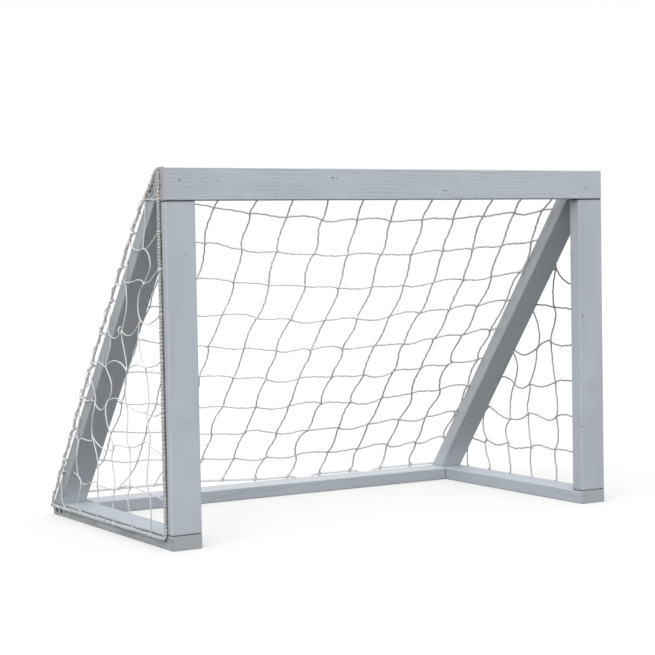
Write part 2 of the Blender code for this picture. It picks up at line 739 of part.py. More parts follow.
def back_net():
    """The net behind the braces. Its edges follow the side cords, and its middle hangs from the crossbar."""
    upper, lower = brace_rope_line()
    across = Vector((1, 0, 0))
    down = Vector((0, lower.x - upper.x, lower.y - upper.y)).normalized()
    sheet = Sheet(across, down)
    last_i = BACK_COLUMNS + 1
    last_j = BACK_ROWS + 1
    edge_length = (lower - upper).length
    foot_z = REAR_ROPE_Z + REAR_ROPE_RISE

    def place(i, j):
        """Where a knot lies and, at the edges, which way its strand leaves the cord."""
        x = back_column_x(i, j)
        top = at(x, CROSSBAR_DEPTH + ROPE_STAND, top_rope_z(x))
        rear = at(x, DEPTH + ROPE_STAND, foot_z)
        if j == 0:
            return top + down * ROPE_STAND, down
        if j == last_j:
            return at(x, DEPTH + ROPE_STAND, rear_rope_z(x)) - down * ROPE_STAND, -down
        share = i / last_i
        tilt = BACK_TILT * (share - 0.5)
        fall = back_row(j, BACK_EDGE_FIRST_MESH, BACK_EDGE_LAST_MESH, edge_length) + tilt
        edge = upper.lerp(lower, fall / edge_length)
        if i in (0, last_i):
            tied = brace_cord(fall / edge_length)
            return at(math.copysign(HALF_WIDTH, x), tied.x, tied.y), across * (1 if i == 0 else -1)
        length = (rear - top).length
        fall = back_row(j, BACK_FIRST_MESH, BACK_LAST_MESH, length) + tilt
        middle = top.lerp(rear, fall / length) - sheet.out * BACK_SAG * math.sin(math.pi * fall / length)
        point = at(x, edge.x, edge.y).lerp(middle, math.sin(math.pi * share))
        return point + BACK_STRAY * (across * stray(i, j, 0.0) + down * stray(i, j, 2.0)), None

    for i in range(last_i + 1):
        for j in range(last_j + 1):
            if i not in (0, last_i) or j not in (0, last_j):
                sheet.knot((i, j), *place(i, j))
    for j in range(1, last_j):
        sheet.strand((0, j), (1, j), past_brace(sheet.knots[(0, j)]))
        for i in range(1, last_i - 1):
            sheet.bowed_strand((i, j), (i + 1, j), down, BACK_BOW * stray(i, j, 1.0))
        sheet.strand((last_i - 1, j), (last_i, j), past_brace(sheet.knots[(last_i, j)]))
    for i in range(1, last_i):
        for j in range(last_j):
            sheet.bowed_strand((i, j), (i, j + 1), across, BACK_BOW * stray(i, j, 3.0))
    return sheet.build("back_net")


def past_brace(point):
    """Where a strand of the back net that starts at the side cord comes out from behind the brace."""
    return Vector((math.copysign(HALF_WIDTH - BRACE_WIDTH, point.x), point.y, point.z))


def side_net_edge():
    """The slope that the side nets are laid out by: how far back it is at the base cord, and its fall."""
    upper, lower = brace_rope_line()
    fall = (upper.y - lower.y) / (lower.x - upper.x)
    return lower.x - SIDE_CORNER_INSET * math.hypot(1, fall) / fall, fall


def side_column_back(i):
    corner_back, _ = side_net_edge()
    pitch = (corner_back - POST_ROPE_BACK - SIDE_FRONT_MESH - SIDE_REAR_MESH) / (SIDE_COLUMNS - 1)
    return POST_ROPE_BACK + SIDE_FRONT_MESH + pitch * (i - 1)


def side_row_z(j):
    corner_back, fall = side_net_edge()
    height = fall * (corner_back - POST_ROPE_BACK)
    pitch = (height - SIDE_LOW_MESH - SIDE_TOP_MESH) / (SIDE_ROWS - 1)
    return BASE_ROPE_Z + SIDE_LOW_MESH + pitch * (j - 1)


def side_net(name, side):
    """The three-cornered net at one side: square meshes, cut off along the side cord behind the brace."""
    across = Vector((0, 1, 0))
    down = Vector((0, 0, -1))
    sheet = Sheet(across, down)
    x = side * SIDE_ROPE_X
    _, fall = side_net_edge()
    inward = (down - across * fall).normalized()

    def clear(i, j):
        """How far the crossing of column i and row j lies inside the cord behind the brace."""
        slope = brace_cord_where(0, side_column_back(i), SIDE_CORNER_INSET)
        return (slope.y - side_row_z(j)) / math.hypot(1, fall)

    for i in range(1, SIDE_COLUMNS + 1):
        sheet.knot((i, 0), at(x, side_column_back(i), BASE_ROPE_Z + ROPE_STAND), -down)
        for j in range(1, SIDE_ROWS + 1):
            point = at(x, side_column_back(i), side_row_z(j))
            room = clear(i, j)
            if room >= SIDE_MERGE:
                amount = min(SIDE_STRAY, room / 3)
                point += amount * (across * stray(i, j, side) + down * stray(i, j, 2.5 + side))
                sheet.knot((i, j), point)
            elif room > -SIDE_MERGE:
                sheet.knot((i, j), point - inward * room)
    for j in range(1, SIDE_ROWS + 1):
        sheet.knot((0, j), at(x, POST_ROPE_BACK + ROPE_STAND, side_row_z(j)), across)

    columns = [[(i, j) for j in range(SIDE_ROWS + 1)] for i in range(1, SIDE_COLUMNS + 1)]
    rows = [[(i, j) for i in range(SIDE_COLUMNS + 1)] for j in range(1, SIDE_ROWS + 1)]
    for axis, lines in ((0, columns), (1, rows)):
        for line in lines:
            keys = [key for key in line if key in sheet.knots]
            if len(keys) == 1:
                del sheet.knots[keys[0]]
                continue
            if clear(*keys[-1]) >= SIDE_MERGE:
                value = side_row_z(line[0][1]) if axis else side_column_back(line[0][0])
                end = brace_cord_where(axis, value, ROPE_STAND)
                sheet.knot(("end", line[0]), at(x, *end), inward)
                keys.append(("end", line[0]))
            for a, b in zip(keys, keys[1:]):
                bow = (1 + stray(*a, side)) / 2 if axis else stray(*a, 4.0 + side)
                sheet.bowed_strand(a, b, down if axis else across, SIDE_BOW * bow)
    return sheet.build(name)


def main():
    clear_scene()
    timbers = make_timbers()
    add_fixings(timbers)
    make_ropes()
    back_net()
    side_net("side_net_left", -1)
    side_net("side_net_right", 1)


main()
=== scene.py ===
"""Looks of the wooden soccer goal: painted timber, laid cords and knotted nets, built around the CAD frame.

Metres, +Z up. The mouth faces -Y. "Back" is a distance behind the posts' front faces.
"""

import math
import random
from collections import namedtuple

import bpy
from mathutils import Matrix, Vector


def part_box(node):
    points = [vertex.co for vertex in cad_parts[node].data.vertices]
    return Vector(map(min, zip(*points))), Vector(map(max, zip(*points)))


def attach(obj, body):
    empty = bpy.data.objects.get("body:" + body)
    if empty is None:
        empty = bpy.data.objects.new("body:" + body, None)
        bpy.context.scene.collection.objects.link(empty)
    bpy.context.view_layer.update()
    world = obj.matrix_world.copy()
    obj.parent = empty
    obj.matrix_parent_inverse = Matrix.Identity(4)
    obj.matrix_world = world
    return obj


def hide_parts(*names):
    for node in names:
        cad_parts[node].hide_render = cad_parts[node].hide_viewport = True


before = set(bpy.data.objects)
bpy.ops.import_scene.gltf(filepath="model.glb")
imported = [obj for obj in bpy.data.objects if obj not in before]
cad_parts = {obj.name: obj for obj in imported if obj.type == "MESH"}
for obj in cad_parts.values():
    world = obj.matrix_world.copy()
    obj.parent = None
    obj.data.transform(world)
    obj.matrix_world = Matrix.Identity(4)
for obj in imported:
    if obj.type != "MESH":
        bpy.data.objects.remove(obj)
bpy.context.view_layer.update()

# Sizes that the frame gives
FRONT_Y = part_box("post_left")[0].y
HALF_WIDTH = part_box("crossbar")[1].x
CROSSBAR_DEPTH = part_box("crossbar")[1].y - FRONT_Y
CROSSBAR_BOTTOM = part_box("crossbar")[0].z
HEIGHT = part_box("crossbar")[1].z
POST_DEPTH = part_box("post_left")[1].y - FRONT_Y
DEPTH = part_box("side_bar_left")[1].y - FRONT_Y
BASE_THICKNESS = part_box("side_bar_left")[1].z
BRACE_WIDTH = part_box("brace_left")[1].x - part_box("brace_left")[0].x
ROPE_RADIUS = (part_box("side_cord_left")[1].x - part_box("side_cord_left")[0].x) / 2
POST_ROPE_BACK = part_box("side_cord_left")[0].y + ROPE_RADIUS - FRONT_Y
BASE_ROPE_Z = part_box("side_cord_left")[0].z + ROPE_RADIUS

# Sizes repeated from the part's source
GAP = 0.0003
BRACE_THICKNESS = 0.045
BRACE_FOOT_INSET = 0.062
BRACE_HEAD_RISE = 0.027
ROPE_STAND = GAP + ROPE_RADIUS
BRACE_ROPE_CLEARANCE = 0.0055
BRACE_ROPE_BOW = 0.012
BRACE_ROPE_TUCK = 0.020
BRACE_ROPE_TUCK_SHARE = 0.12
BRACE_ROPE_STEPS = 48
ROPE_CORNER_BACK = 0.0065
ROPE_BEND = 0.014
ROPE_TOP_BEND = 0.008
ROPE_FOOT_BEND = 0.007
ROPE_BEND_STEPS = 8
SIDE_ROPE_TOP_DROP = 0.001
TOP_ROPE_RISE = 0.038
TOP_ROPE_SAG = 0.003
REAR_ROPE_Z = 0.030
REAR_ROPE_RISE = 0.016
REAR_ROPE_SLACK_RISE = 0.014
REAR_ROPE_SLACK_X = 0.0
REAR_ROPE_SLACK_RAMP = 0.250
REAR_BAR_STAPLE_COLUMNS = (7, 9)
REAR_END_STAPLE_INSET = 0.015
ROPE_RAMP = 0.050
BACK_COLUMNS = 12
BACK_ROWS = 9
BACK_SIDE_MESH = 0.104
BACK_REAR_SIDE_MESH = 0.075
BACK_FIRST_MESH = 0.117
BACK_LAST_MESH = 0.115
BACK_EDGE_FIRST_MESH = 0.080
BACK_EDGE_LAST_MESH = 0.170
BACK_ROW_PULL = (-0.0155, -0.0155, -0.0045, 0.0085, 0.0065, -0.0015, 0.0065, 0.0145, 0.0145, 0.0205, 0.0266)
BACK_SAG = 0.028
BACK_TILT = 0.037
BACK_STRAY = 0.003
BACK_STRAY_TURN = 2.0
CROSSBAR_STAPLE_COLUMNS = (1, 4, 8, 11)
SIDE_COLUMNS = 6
SIDE_ROWS = 8
SIDE_FRONT_MESH = 0.0955
SIDE_REAR_MESH = 0.0968
SIDE_LOW_MESH = 0.109
SIDE_TOP_MESH = 0.1145
SIDE_MERGE = 0.012
SIDE_STRAY = 0.009
SIDE_STRAY_TURN = 2.5
SIDE_STRAY_ROOM = 3
SIDE_CORNER_INSET = ROPE_STAND + 0.0026

# Where a side net's knots have been pulled out of line, as (column, row): (back, up)
KNOT_PULLS = {
    "left": {
        (0, 7): (0.0, 0.028), (1, 7): (0.010, -0.008), (0, 6): (0.0, 0.044), (1, 6): (0.016, 0.006),
        (0, 5): (0.0, 0.036), (1, 5): (0.026, 0.010), (2, 5): (0.030, -0.022), (3, 5): (0.0, -0.034),
        (0, 4): (0.0, 0.028), (2, 4): (0.022, -0.002), (3, 4): (0.030, -0.014), (3, 3): (0.030, 0.008),
        (0, 3): (0.0, 0.010), (2, 3): (0.020, 0.004), (1, 2): (-0.010, 0.016), (4, 2): (0.022, 0.012),
    },
    "right": {
        (0, 6): (0.0, -0.010), (0, 5): (0.0, -0.010), (1, 6): (0.0, -0.030), (1, 5): (0.0, -0.022),
        (2, 6): (-0.011, 0.010), (2, 4): (0.012, 0.008), (3, 4): (-0.024, -0.014), (3, 3): (0.014, -0.014),
        (4, 3): (-0.030, -0.022), (4, 2): (0.0, -0.022), (3, 2): (0.008, -0.008), (5, 2): (-0.010, -0.010),
    },
}

# Where a slack strand bows out between two knots: (column, row, column, row): (back, up) at its middle
STRAND_BOWS = {
    "left": {
        (1, 6, 1, 7): (-0.046, 0.004), (1, 5, 1, 6): (0.026, 0.0), (1, 5, 2, 5): (0.0, -0.026),
        (2, 5, 2, 6): (-0.022, 0.0), (0, 5, 1, 5): (0.010, -0.018), (0, 6, 1, 6): (0.008, -0.012),
        (3, 3, 3, 4): (-0.036, 0.0), (2, 4, 3, 4): (0.0, 0.022), (1, 4, 2, 4): (0.0, 0.012),
        (2, 5, 3, 5): (0.0, -0.016), (0, 7, 1, 7): (0.012, -0.016), (2, 3, 3, 3): (0.0, 0.014),
        (4, 1, 4, 2): (-0.022, 0.0), (3, 2, 4, 2): (0.0, -0.016), (3, 3, 4, 3): (0.0, -0.022),
    },
    "right": {
        (3, 4, 4, 4): (0.0, -0.034), (4, 3, 4, 4): (-0.032, 0.0), (3, 3, 4, 3): (0.0, -0.014),
        (4, 1, 4, 2): (0.020, 0.004), (5, 1, 5, 2): (0.024, 0.008), (3, 2, 4, 2): (0.0, -0.010),
        (2, 3, 3, 3): (0.0, -0.012), (3, 3, 3, 4): (-0.010, 0.0), (1, 6, 2, 6): (0.0, -0.020),
    },
}

# A small curl that the twine has sprung into: its net and knot, its way out of the knot as (back, up), its
# radius, and its turn out of the net's plane in radians
CURL_NET = "left"
CURL_KNOT = (2, 5)
CURL_WAY = (-0.010, 0.002)
CURL_RADIUS = 0.0100
CURL_TURN = 1.0
CURL_STEPS = 22

# Twine as it looks, with radii in metres, and its knots, with sizes against the twine's radius
BACK_TWINE = 0.0027
BACK_TWINE_GAIN = 0.30
LEFT_TWINE = 0.0018
RIGHT_TWINE = 0.0026
TWINE_LOBE = 0.035
TWINE_SIDES = 8
TWINE_STEP = 0.0026
TWINE_LEAST_STEPS = 4
TWINE_LAY = 0.032
KNOT_SHARE = 0.50
KNOT_TWINE_SHARE = 0.75
KNOT_SIDES = 6
KNOT_STEPS = 26
KNOT_LEAN = 0.5
KNOT_FLATNESS = 0.8
KNOT_DEPTH = 1.5

# How slack the strands hang, as the most that they turn at a knot, in radians. A side net's rows give it for
# the front column and for the slackest column, and say which that is.
BACK_SLACK = 0.40
BACK_SLACK_GAIN = 0.45
BACK_EDGE_SLACK = 0.08
LEFT_SLACK = (0.60, 1.15, 4)
RIGHT_SLACK = (0.35, 1.35, 4)
SLACK_LIFT_SHARE = 0.5
WAVE_HEIGHT = 0.0009
WAVE_LENGTH = 0.034
FULL_WAVE_STRAND = 0.06
BOW_FULLNESS = 0.22
BOW_KINK_SHARE = 0.25

# Ties round a cord: the pitch and the distances off cord, timber and knot are in radii of their twine
TIE_TURNS = (1.25, 1.25, 2.25)
TIE_STEPS = 30
TIE_PITCHES = (1.6, 3.2)
TIE_STAND = 0.75
TIE_OFF_FACE = 0.6
TIE_DRIFT = 0.003
TIE_KNOT_STAND = 2

# Seeds
BACK_SEED = 7
LEFT_SEED = 21
RIGHT_SEED = 35
LACE_SEED = 40
BUNDLE_SEED = 60

# Laid cord, and the lacing round it, whose pitch and stand change from run to run
ROPE_STRANDS = 3
ROPE_STRAND_SHARE = 0.60
ROPE_SIDES = 7
ROPE_STEP = 0.0026
ROPE_LAY = 0.024
CROSS_ROPE_STEPS = 120
OFF_FACE = 0.7
LACE_RADIUS = 0.0011
LACE_SIDES = 5
LACE_STAND = 0.0046
LACE_PITCH = 0.0090
LACE_STEP = 0.0021
LACE_FINE_STEP = LACE_STEP / 3
LACE_RUN_STEPS = 24
LACE_EASE = 0.06
LACE_PITCHES = (0.75, 1.5)
LACE_LOOSE_PITCH = 8.0
LACE_TIGHT_STANDS = (0.9, 1.2)
LACE_LOOSE_STANDS = (1.0, 1.8)
SLOPE_LACE_BACK = 0.100
SLOPE_LACE_Z = 0.045
BUNCH_BACK = 0.545
BUNCH_REACH = 0.020
BUNCH_STAND = 2.6

# The spare cord at the crossbar's end: its windings, as (turns, stand, radius), the line that they follow,
# as (back, z) and then as shares of the slope's cord, and its loose ends, as (back, rise above the post)
WINDINGS = ((31.3, 0.0046, 0.0013), (-19.4, 0.0052, 0.0012), (7.1, 0.0060, 0.0012))
WINDING_LINE = (
    (POST_ROPE_BACK, CROSSBAR_BOTTOM + 0.052),
    (POST_ROPE_BACK, HEIGHT - 0.022),
    (POST_ROPE_BACK + 0.004, HEIGHT - 0.011),
    (POST_ROPE_BACK + 0.012, HEIGHT - 0.012),
)
WINDING_HEAD = (0.02, 0.3)
WINDING_TAIL = (0.03, 0.06)
WINDING_STEP = 0.0012
WINDING_SWAY = 0.04
WINDING_SWAY_TURN = 9
WINDING_SWELL = (0.85, 0.25)
SPARE_STEP = 0.0016
SPARE_SIDES = 6
LOOSE_END_RADIUS = 0.0016
LOOSE_ENDS = (
    ((0.030, 0.088), (0.046, 0.070), (0.058, 0.046), (0.050, 0.022), (0.036, 0.006), (0.033, -0.012)),
    ((0.034, 0.090), (0.060, 0.060), (0.082, 0.036), (0.094, 0.030), (0.088, 0.016), (0.060, 0.034)),
    ((0.026, 0.072), (0.042, 0.076), (0.048, 0.052), (0.040, 0.030), (0.028, 0.036), (0.030, 0.060)),
)

# Lines that follow from the sizes
SIDE_ROPE_X = HALF_WIDTH + ROPE_STAND
TOP_ROPE_Z = CROSSBAR_BOTTOM + TOP_ROPE_RISE
TOP_ROPE_BACK = CROSSBAR_DEPTH + ROPE_STAND
REAR_ROPE_BACK = DEPTH + ROPE_STAND
BRACE_FOOT_BACK = DEPTH - BRACE_FOOT_INSET
BRACE_HEAD_Z = CROSSBAR_BOTTOM + BRACE_HEAD_RISE
BRACE_ALONG = Vector((0.0, POST_DEPTH - BRACE_FOOT_BACK, BRACE_HEAD_Z - BASE_THICKNESS)).normalized()
BRACE_OUT = Vector((0.0, BRACE_ALONG.z, -BRACE_ALONG.y))
LAST_COLUMN = BACK_COLUMNS + 1
LAST_ROW = BACK_ROWS + 1
X_AXIS = Vector((1, 0, 0))
Y_AXIS = Vector((0, 1, 0))
Z_AXIS = Vector((0, 0, 1))
SIDES = (("left", -1), ("right", 1))


def at(x, back, z):
    return Vector((x, FRONT_Y + back, z))


def new_object(name, data):
    obj = bpy.data.objects.new(name, data)
    bpy.context.scene.collection.objects.link(obj)
    return obj


# Swept tubes

def tangent_at(line, index, closed):
    before = line[index - 1] if closed or index else line[index]
    after = line[(index + 1) % len(line)] if closed or index < len(line) - 1 else line[index]
    return (after - before).normalized()


def wound(line, index, closed, start, angle, reach):
    """The point this far from a line, at an angle round it that is counted from the direction start."""
    side = tangent_at(line, index, closed).cross(start).normalized()
    return line[index] + (start * math.cos(angle) + side * math.sin(angle)) * reach


class Skin:
    """Gathers swept tubes into the vertices and faces of one mesh."""

    def __init__(self):
        self.vertices = []
        self.faces = []

    def sweep(self, points, section, twist=0.0, closed=False):
        """Sweeps a section of (a, b) offsets along points, and turns it by twist radians a metre."""
        count = len(points)
        start = len(self.vertices)
        sides = len(section)
        travelled = 0.0
        normal = None
        for index, point in enumerate(points):
            tangent = tangent_at(points, index, closed)
            if normal is None:
                normal = tangent.orthogonal()
            normal = (normal - tangent * normal.dot(tangent)).normalized()
            binormal = tangent.cross(normal)
            if index:
                travelled += (point - points[index - 1]).length
            angle = twist * travelled
            cos, sin = math.cos(angle), math.sin(angle)
            for a, b in section:
                self.vertices.append(point + normal * (a * cos - b * sin) + binormal * (a * sin + b * cos))
        for index in range(count if closed else count - 1):
            here = start + index * sides
            there = start + (index + 1) % count * sides
            for side in range(sides):
                other = (side + 1) % sides
                self.faces.append((here + side, here + other, there + other, there + side))
        if not closed:
            self.faces.append(tuple(reversed(range(start, start + sides))))
            self.faces.append(tuple(range(start + (count - 1) * sides, start + count * sides)))

    def object(self, name, material):
        mesh = bpy.data.meshes.new(name)
        mesh.from_pydata(self.vertices, [], self.faces)
        mesh.materials.append(material)
        mesh.shade_smooth()
        return new_object(name, mesh)


def outline(radius, sides, lobe=0.0):
    """A round section, or with a lobe the section of two plies lying side by side."""
    points = []
    for step in range(sides):
        angle = math.tau * step / sides
        reach = radius * (1 - lobe * math.sin(angle) ** 2)
        points.append((reach * math.cos(angle), reach * math.sin(angle)))
    return points


def resampled(points, step, closed=False):
    """Points at even distances along a line."""
    line = list(points) + ([points[0]] if closed else [])
    lengths = [(b - a).length for a, b in zip(line, line[1:])]
    total = sum(lengths)
    count = max(2, round(total / step))
    result = []
    index = 0
    passed = 0.0
    for number in range(count if closed else count + 1):
        target = total * number / count
        while index < len(lengths) - 1 and passed + lengths[index] < target:
            passed += lengths[index]
            index += 1
        share = (target - passed) / lengths[index]
        result.append(line[index].lerp(line[index + 1], min(1.0, share)))
    return result


def spline(points, step):
    """A smooth line through the points, at even steps."""
    dense = []
    padded = [points[0] * 2 - points[1], *points, points[-1] * 2 - points[-2]]
    for before, a, b, after in zip(padded, padded[1:], padded[2:], padded[3:]):
        pieces = max(2, math.ceil((b - a).length / step))
        for number in range(pieces):
            t = number / pieces
            blend = (a * 2 + (b - before) * t + (before * 2 - a * 5 + b * 4 - after) * t ** 2
                     + (a * 3 - before - b * 3 + after) * t ** 3) / 2
            dense.append(blend)
    dense.append(points[-1])
    return resampled(dense, step)


# Cords

def brace_rope_line():
    """The side cord's run behind the brace: its upper and lower ends, as (back, z)."""
    out = BRACE_THICKNESS + BRACE_ROPE_CLEARANCE + ROPE_RADIUS
    upper = Vector((POST_DEPTH + out * BRACE_OUT.y, BRACE_HEAD_Z + out * BRACE_OUT.z))
    lower = Vector((DEPTH + ROPE_CORNER_BACK, BASE_ROPE_Z))
    return upper, lower


def brace_cord(share, inset=0.0):
    """A point on the side cord behind the brace, as (back, z), with share from 0 at its upper end to 1."""
    upper, lower = brace_rope_line()
    along = (lower - upper).normalized()
    out = Vector((-along.y, along.x))
    tuck = BRACE_ROPE_TUCK * max(0, 1 - share / BRACE_ROPE_TUCK_SHARE) ** 2
    return upper.lerp(lower, share) + out * (BRACE_ROPE_BOW * math.sin(math.pi * share) - tuck - inset)


# How often the search for a point on the side cord draws nearer to it
BRACE_CORD_TRIES = 6


def brace_cord_where(axis, value, inset):
    """The point of that line where back (axis 0) or z (axis 1) has this value."""
    upper, lower = brace_rope_line()
    share = 0.5
    for _ in range(BRACE_CORD_TRIES):
        share += (value - brace_cord(share, inset)[axis]) / (lower[axis] - upper[axis])
    return brace_cord(share, inset)


def side_rope_points(side):
    """The side cord's closed loop, with each corner turned on an arc."""
    upper = brace_cord(0)
    lower = brace_cord(1)
    corners = [
        (Vector((POST_ROPE_BACK, BASE_ROPE_Z)), ROPE_BEND),
        (Vector((POST_ROPE_BACK, HEIGHT - SIDE_ROPE_TOP_DROP)), ROPE_TOP_BEND),
        (upper, ROPE_BEND),
        (lower, ROPE_FOOT_BEND),
    ]
    points = []
    for index, (here, radius) in enumerate(corners):
        before = corners[index - 1][0]
        after = corners[(index + 1) % len(corners)][0]
        to_before = (before - here).normalized()
        to_after = (after - here).normalized()
        half_turn = to_before.angle(to_after) / 2
        reach = radius / math.tan(half_turn)
        centre = here + (to_before + to_after).normalized() * reach / math.cos(half_turn)
        start = here + to_before * reach - centre
        end = here + to_after * reach - centre
        for step in range(ROPE_BEND_STEPS + 1):
            spoke = start.lerp(end, step / ROPE_BEND_STEPS).normalized() * start.length
            points.append(at(side * SIDE_ROPE_X, *(centre + spoke)))
        if here == upper:
            shares = [step / BRACE_ROPE_STEPS for step in range(1, BRACE_ROPE_STEPS)]
            points += [at(side * SIDE_ROPE_X, *brace_cord(share)) for share in shares]
    return points


def back_column_x(i, j):
    """Where column i of the back net crosses row j. Columns count from the left and rows from the top."""
    side_mesh = BACK_REAR_SIDE_MESH if j > BACK_ROWS else BACK_SIDE_MESH
    pitch = (2 * HALF_WIDTH - 2 * side_mesh) / (BACK_COLUMNS - 1)
    return (i - LAST_COLUMN / 2) * pitch + BACK_ROW_PULL[j]


REAR_END_STAPLE_X = HALF_WIDTH - REAR_END_STAPLE_INSET
TOP_STAPLE_XS = [back_column_x(column + 0.5, 0) for column in CROSSBAR_STAPLE_COLUMNS]
REAR_STAPLE_XS = [back_column_x(column + 0.5, LAST_ROW) for column in REAR_BAR_STAPLE_COLUMNS]
REAR_STAPLE_XS += [-REAR_END_STAPLE_X, REAR_END_STAPLE_X]


def freed(x, staples):
    """From 0 at a staple to 1 where the cord is clear of every staple."""
    nearest = min(abs(x - staple_x) for staple_x in staples)
    return (1 - math.cos(math.pi * min(1, nearest / ROPE_RAMP))) / 2


def rear_rope_z(x):
    slack = min(1, max(0, (REAR_ROPE_SLACK_X - x) / REAR_ROPE_SLACK_RAMP))
    return REAR_ROPE_Z + (REAR_ROPE_RISE + REAR_ROPE_SLACK_RISE * slack) * freed(x, REAR_STAPLE_XS)


def top_rope_z(x):
    return TOP_ROPE_Z - TOP_ROPE_SAG * freed(x, TOP_STAPLE_XS)


def laid_rope(name, node, points, closed, reference, material):
    """Three strands laid round each other along a line, in place of one CAD cord."""
    line = resampled(points, ROPE_STEP, closed)
    count = len(line)
    length = sum((b - a).length for a, b in zip(line, line[1:]))
    turns = round(length / ROPE_LAY)
    strand_radius = ROPE_STRAND_SHARE * ROPE_RADIUS
    offset = ROPE_RADIUS - strand_radius
    skin = Skin()
    for strand in range(ROPE_STRANDS):
        angles = [math.tau * (turns * index / count + strand / ROPE_STRANDS) for index in range(count)]
        helix = [wound(line, index, closed, reference, angle, offset) for index, angle in enumerate(angles)]
        skin.sweep(helix, outline(strand_radius, ROPE_SIDES), closed=closed)
    rope = skin.object(name, material)
    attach(rope, "root")
    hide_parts(node)


def lacing(name, points, side, seed, material):
    """Two thin cords wound round a side cord, one each way, that lace the net's edge to it.

    They are tight along the post and the base, and loose behind the brace, most where the net is bunched.
    """
    line = resampled(points, LACE_FINE_STEP, True)
    rng = random.Random(seed)
    skin = Skin()
    for way in (1, -1):
        helix = []
        angle = rng.uniform(0, math.tau)
        stand = LACE_STAND
        for index, point in enumerate(line):
            if index % LACE_RUN_STEPS == 0:
                back = point.y - FRONT_Y
                loose = back > SLOPE_LACE_BACK and point.z > SLOPE_LACE_Z
                pitch = LACE_PITCH * rng.uniform(*LACE_PITCHES) * (LACE_LOOSE_PITCH if loose else 1.0)
                goal = LACE_STAND * rng.uniform(*(LACE_LOOSE_STANDS if loose else LACE_TIGHT_STANDS))
                if loose and abs(back - BUNCH_BACK) < BUNCH_REACH:
                    goal = LACE_STAND * BUNCH_STAND
            stand += (goal - stand) * LACE_EASE
            angle += way * math.tau * LACE_FINE_STEP / pitch
            helix.append(wound(line, index, True, X_AXIS, angle, stand))
        helix = clear_of_side(helix, side, LACE_RADIUS)
        skin.sweep(resampled(helix, LACE_STEP), outline(LACE_RADIUS, LACE_SIDES))
    lace = skin.object(name, material)
    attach(lace, "root")


def corner_bundle(name, side, seed, material):
    """The cord's spare end, wound close round it at the crossbar's end, with its last turns on the slope."""
    x = side * SIDE_ROPE_X
    share, amount = WINDING_HEAD
    line = [*WINDING_LINE, brace_cord(0).lerp(brace_cord(share), amount), *map(brace_cord, WINDING_TAIL)]
    core = spline([at(x, *point) for point in line], WINDING_STEP)
    rng = random.Random(seed)
    skin = Skin()
    least, swell = WINDING_SWELL
    for turns, stand, radius in WINDINGS:
        phase = rng.uniform(0, math.tau)
        helix = []
        for index in range(len(core)):
            t = index / (len(core) - 1)
            angle = phase + math.tau * turns * (t + WINDING_SWAY * math.sin(WINDING_SWAY_TURN * t + phase))
            reach = stand * (least + swell * math.sin(math.pi * t))
            helix.append(wound(core, index, False, X_AXIS, angle, reach))
        line = resampled(clear_of_side(helix, side, radius), SPARE_STEP)
        skin.sweep(line, outline(radius, SPARE_SIDES))
    for loose_end in LOOSE_ENDS:
        line = spline([at(x, back, CROSSBAR_BOTTOM + rise) for back, rise in loose_end], SPARE_STEP)
        section = outline(LOOSE_END_RADIUS, SPARE_SIDES)
        skin.sweep(clear_of_side(line, side, LOOSE_END_RADIUS), section)
    bundle = skin.object(name, material)
    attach(bundle, "root")


def clear_of_side(points, side, radius):
    """The points, moved out where they would sink into the timbers' outer faces."""
    least = HALF_WIDTH + OFF_FACE * radius
    return [Vector((side * max(least, point.x * side), point.y, point.z)) for point in points]


def cross_rope(name, node, end, back, height, material):
    """A cord across the goal, out to end on both sides, whose height at each x a function gives."""
    xs = [end * (2 * step / CROSS_ROPE_STEPS - 1) for step in range(CROSS_ROPE_STEPS + 1)]
    laid_rope(name, node, [at(x, back, height(x)) for x in xs], False, Y_AXIS, material)


def make_ropes(cord, pale_cord, lace):
    for label, side in SIDES:
        points = side_rope_points(side)
        laid_rope(f"side_rope_{label}", f"side_cord_{label}", points, True, X_AXIS, cord)
        lacing(f"side_lacing_{label}", points, side, LACE_SEED + side, lace)
        corner_bundle(f"corner_bundle_{label}", side, BUNDLE_SEED + side, cord)
    end = HALF_WIDTH - GAP
    cross_rope("upper_rope", "upper_cord", end - BRACE_WIDTH, TOP_ROPE_BACK, top_rope_z, pale_cord)
    cross_rope("rear_rope", "rear_cord", end, REAR_ROPE_BACK, rear_rope_z, pale_cord)


# Nets

def stray(i, j, turn=0.0):
    """The same steady value from -1 to 1 that places the knots in the part's source."""
    return math.sin(2.17 * i + 3.61 * j + 1.9 * math.sin(1.31 * i - 2.3 * j) + turn)


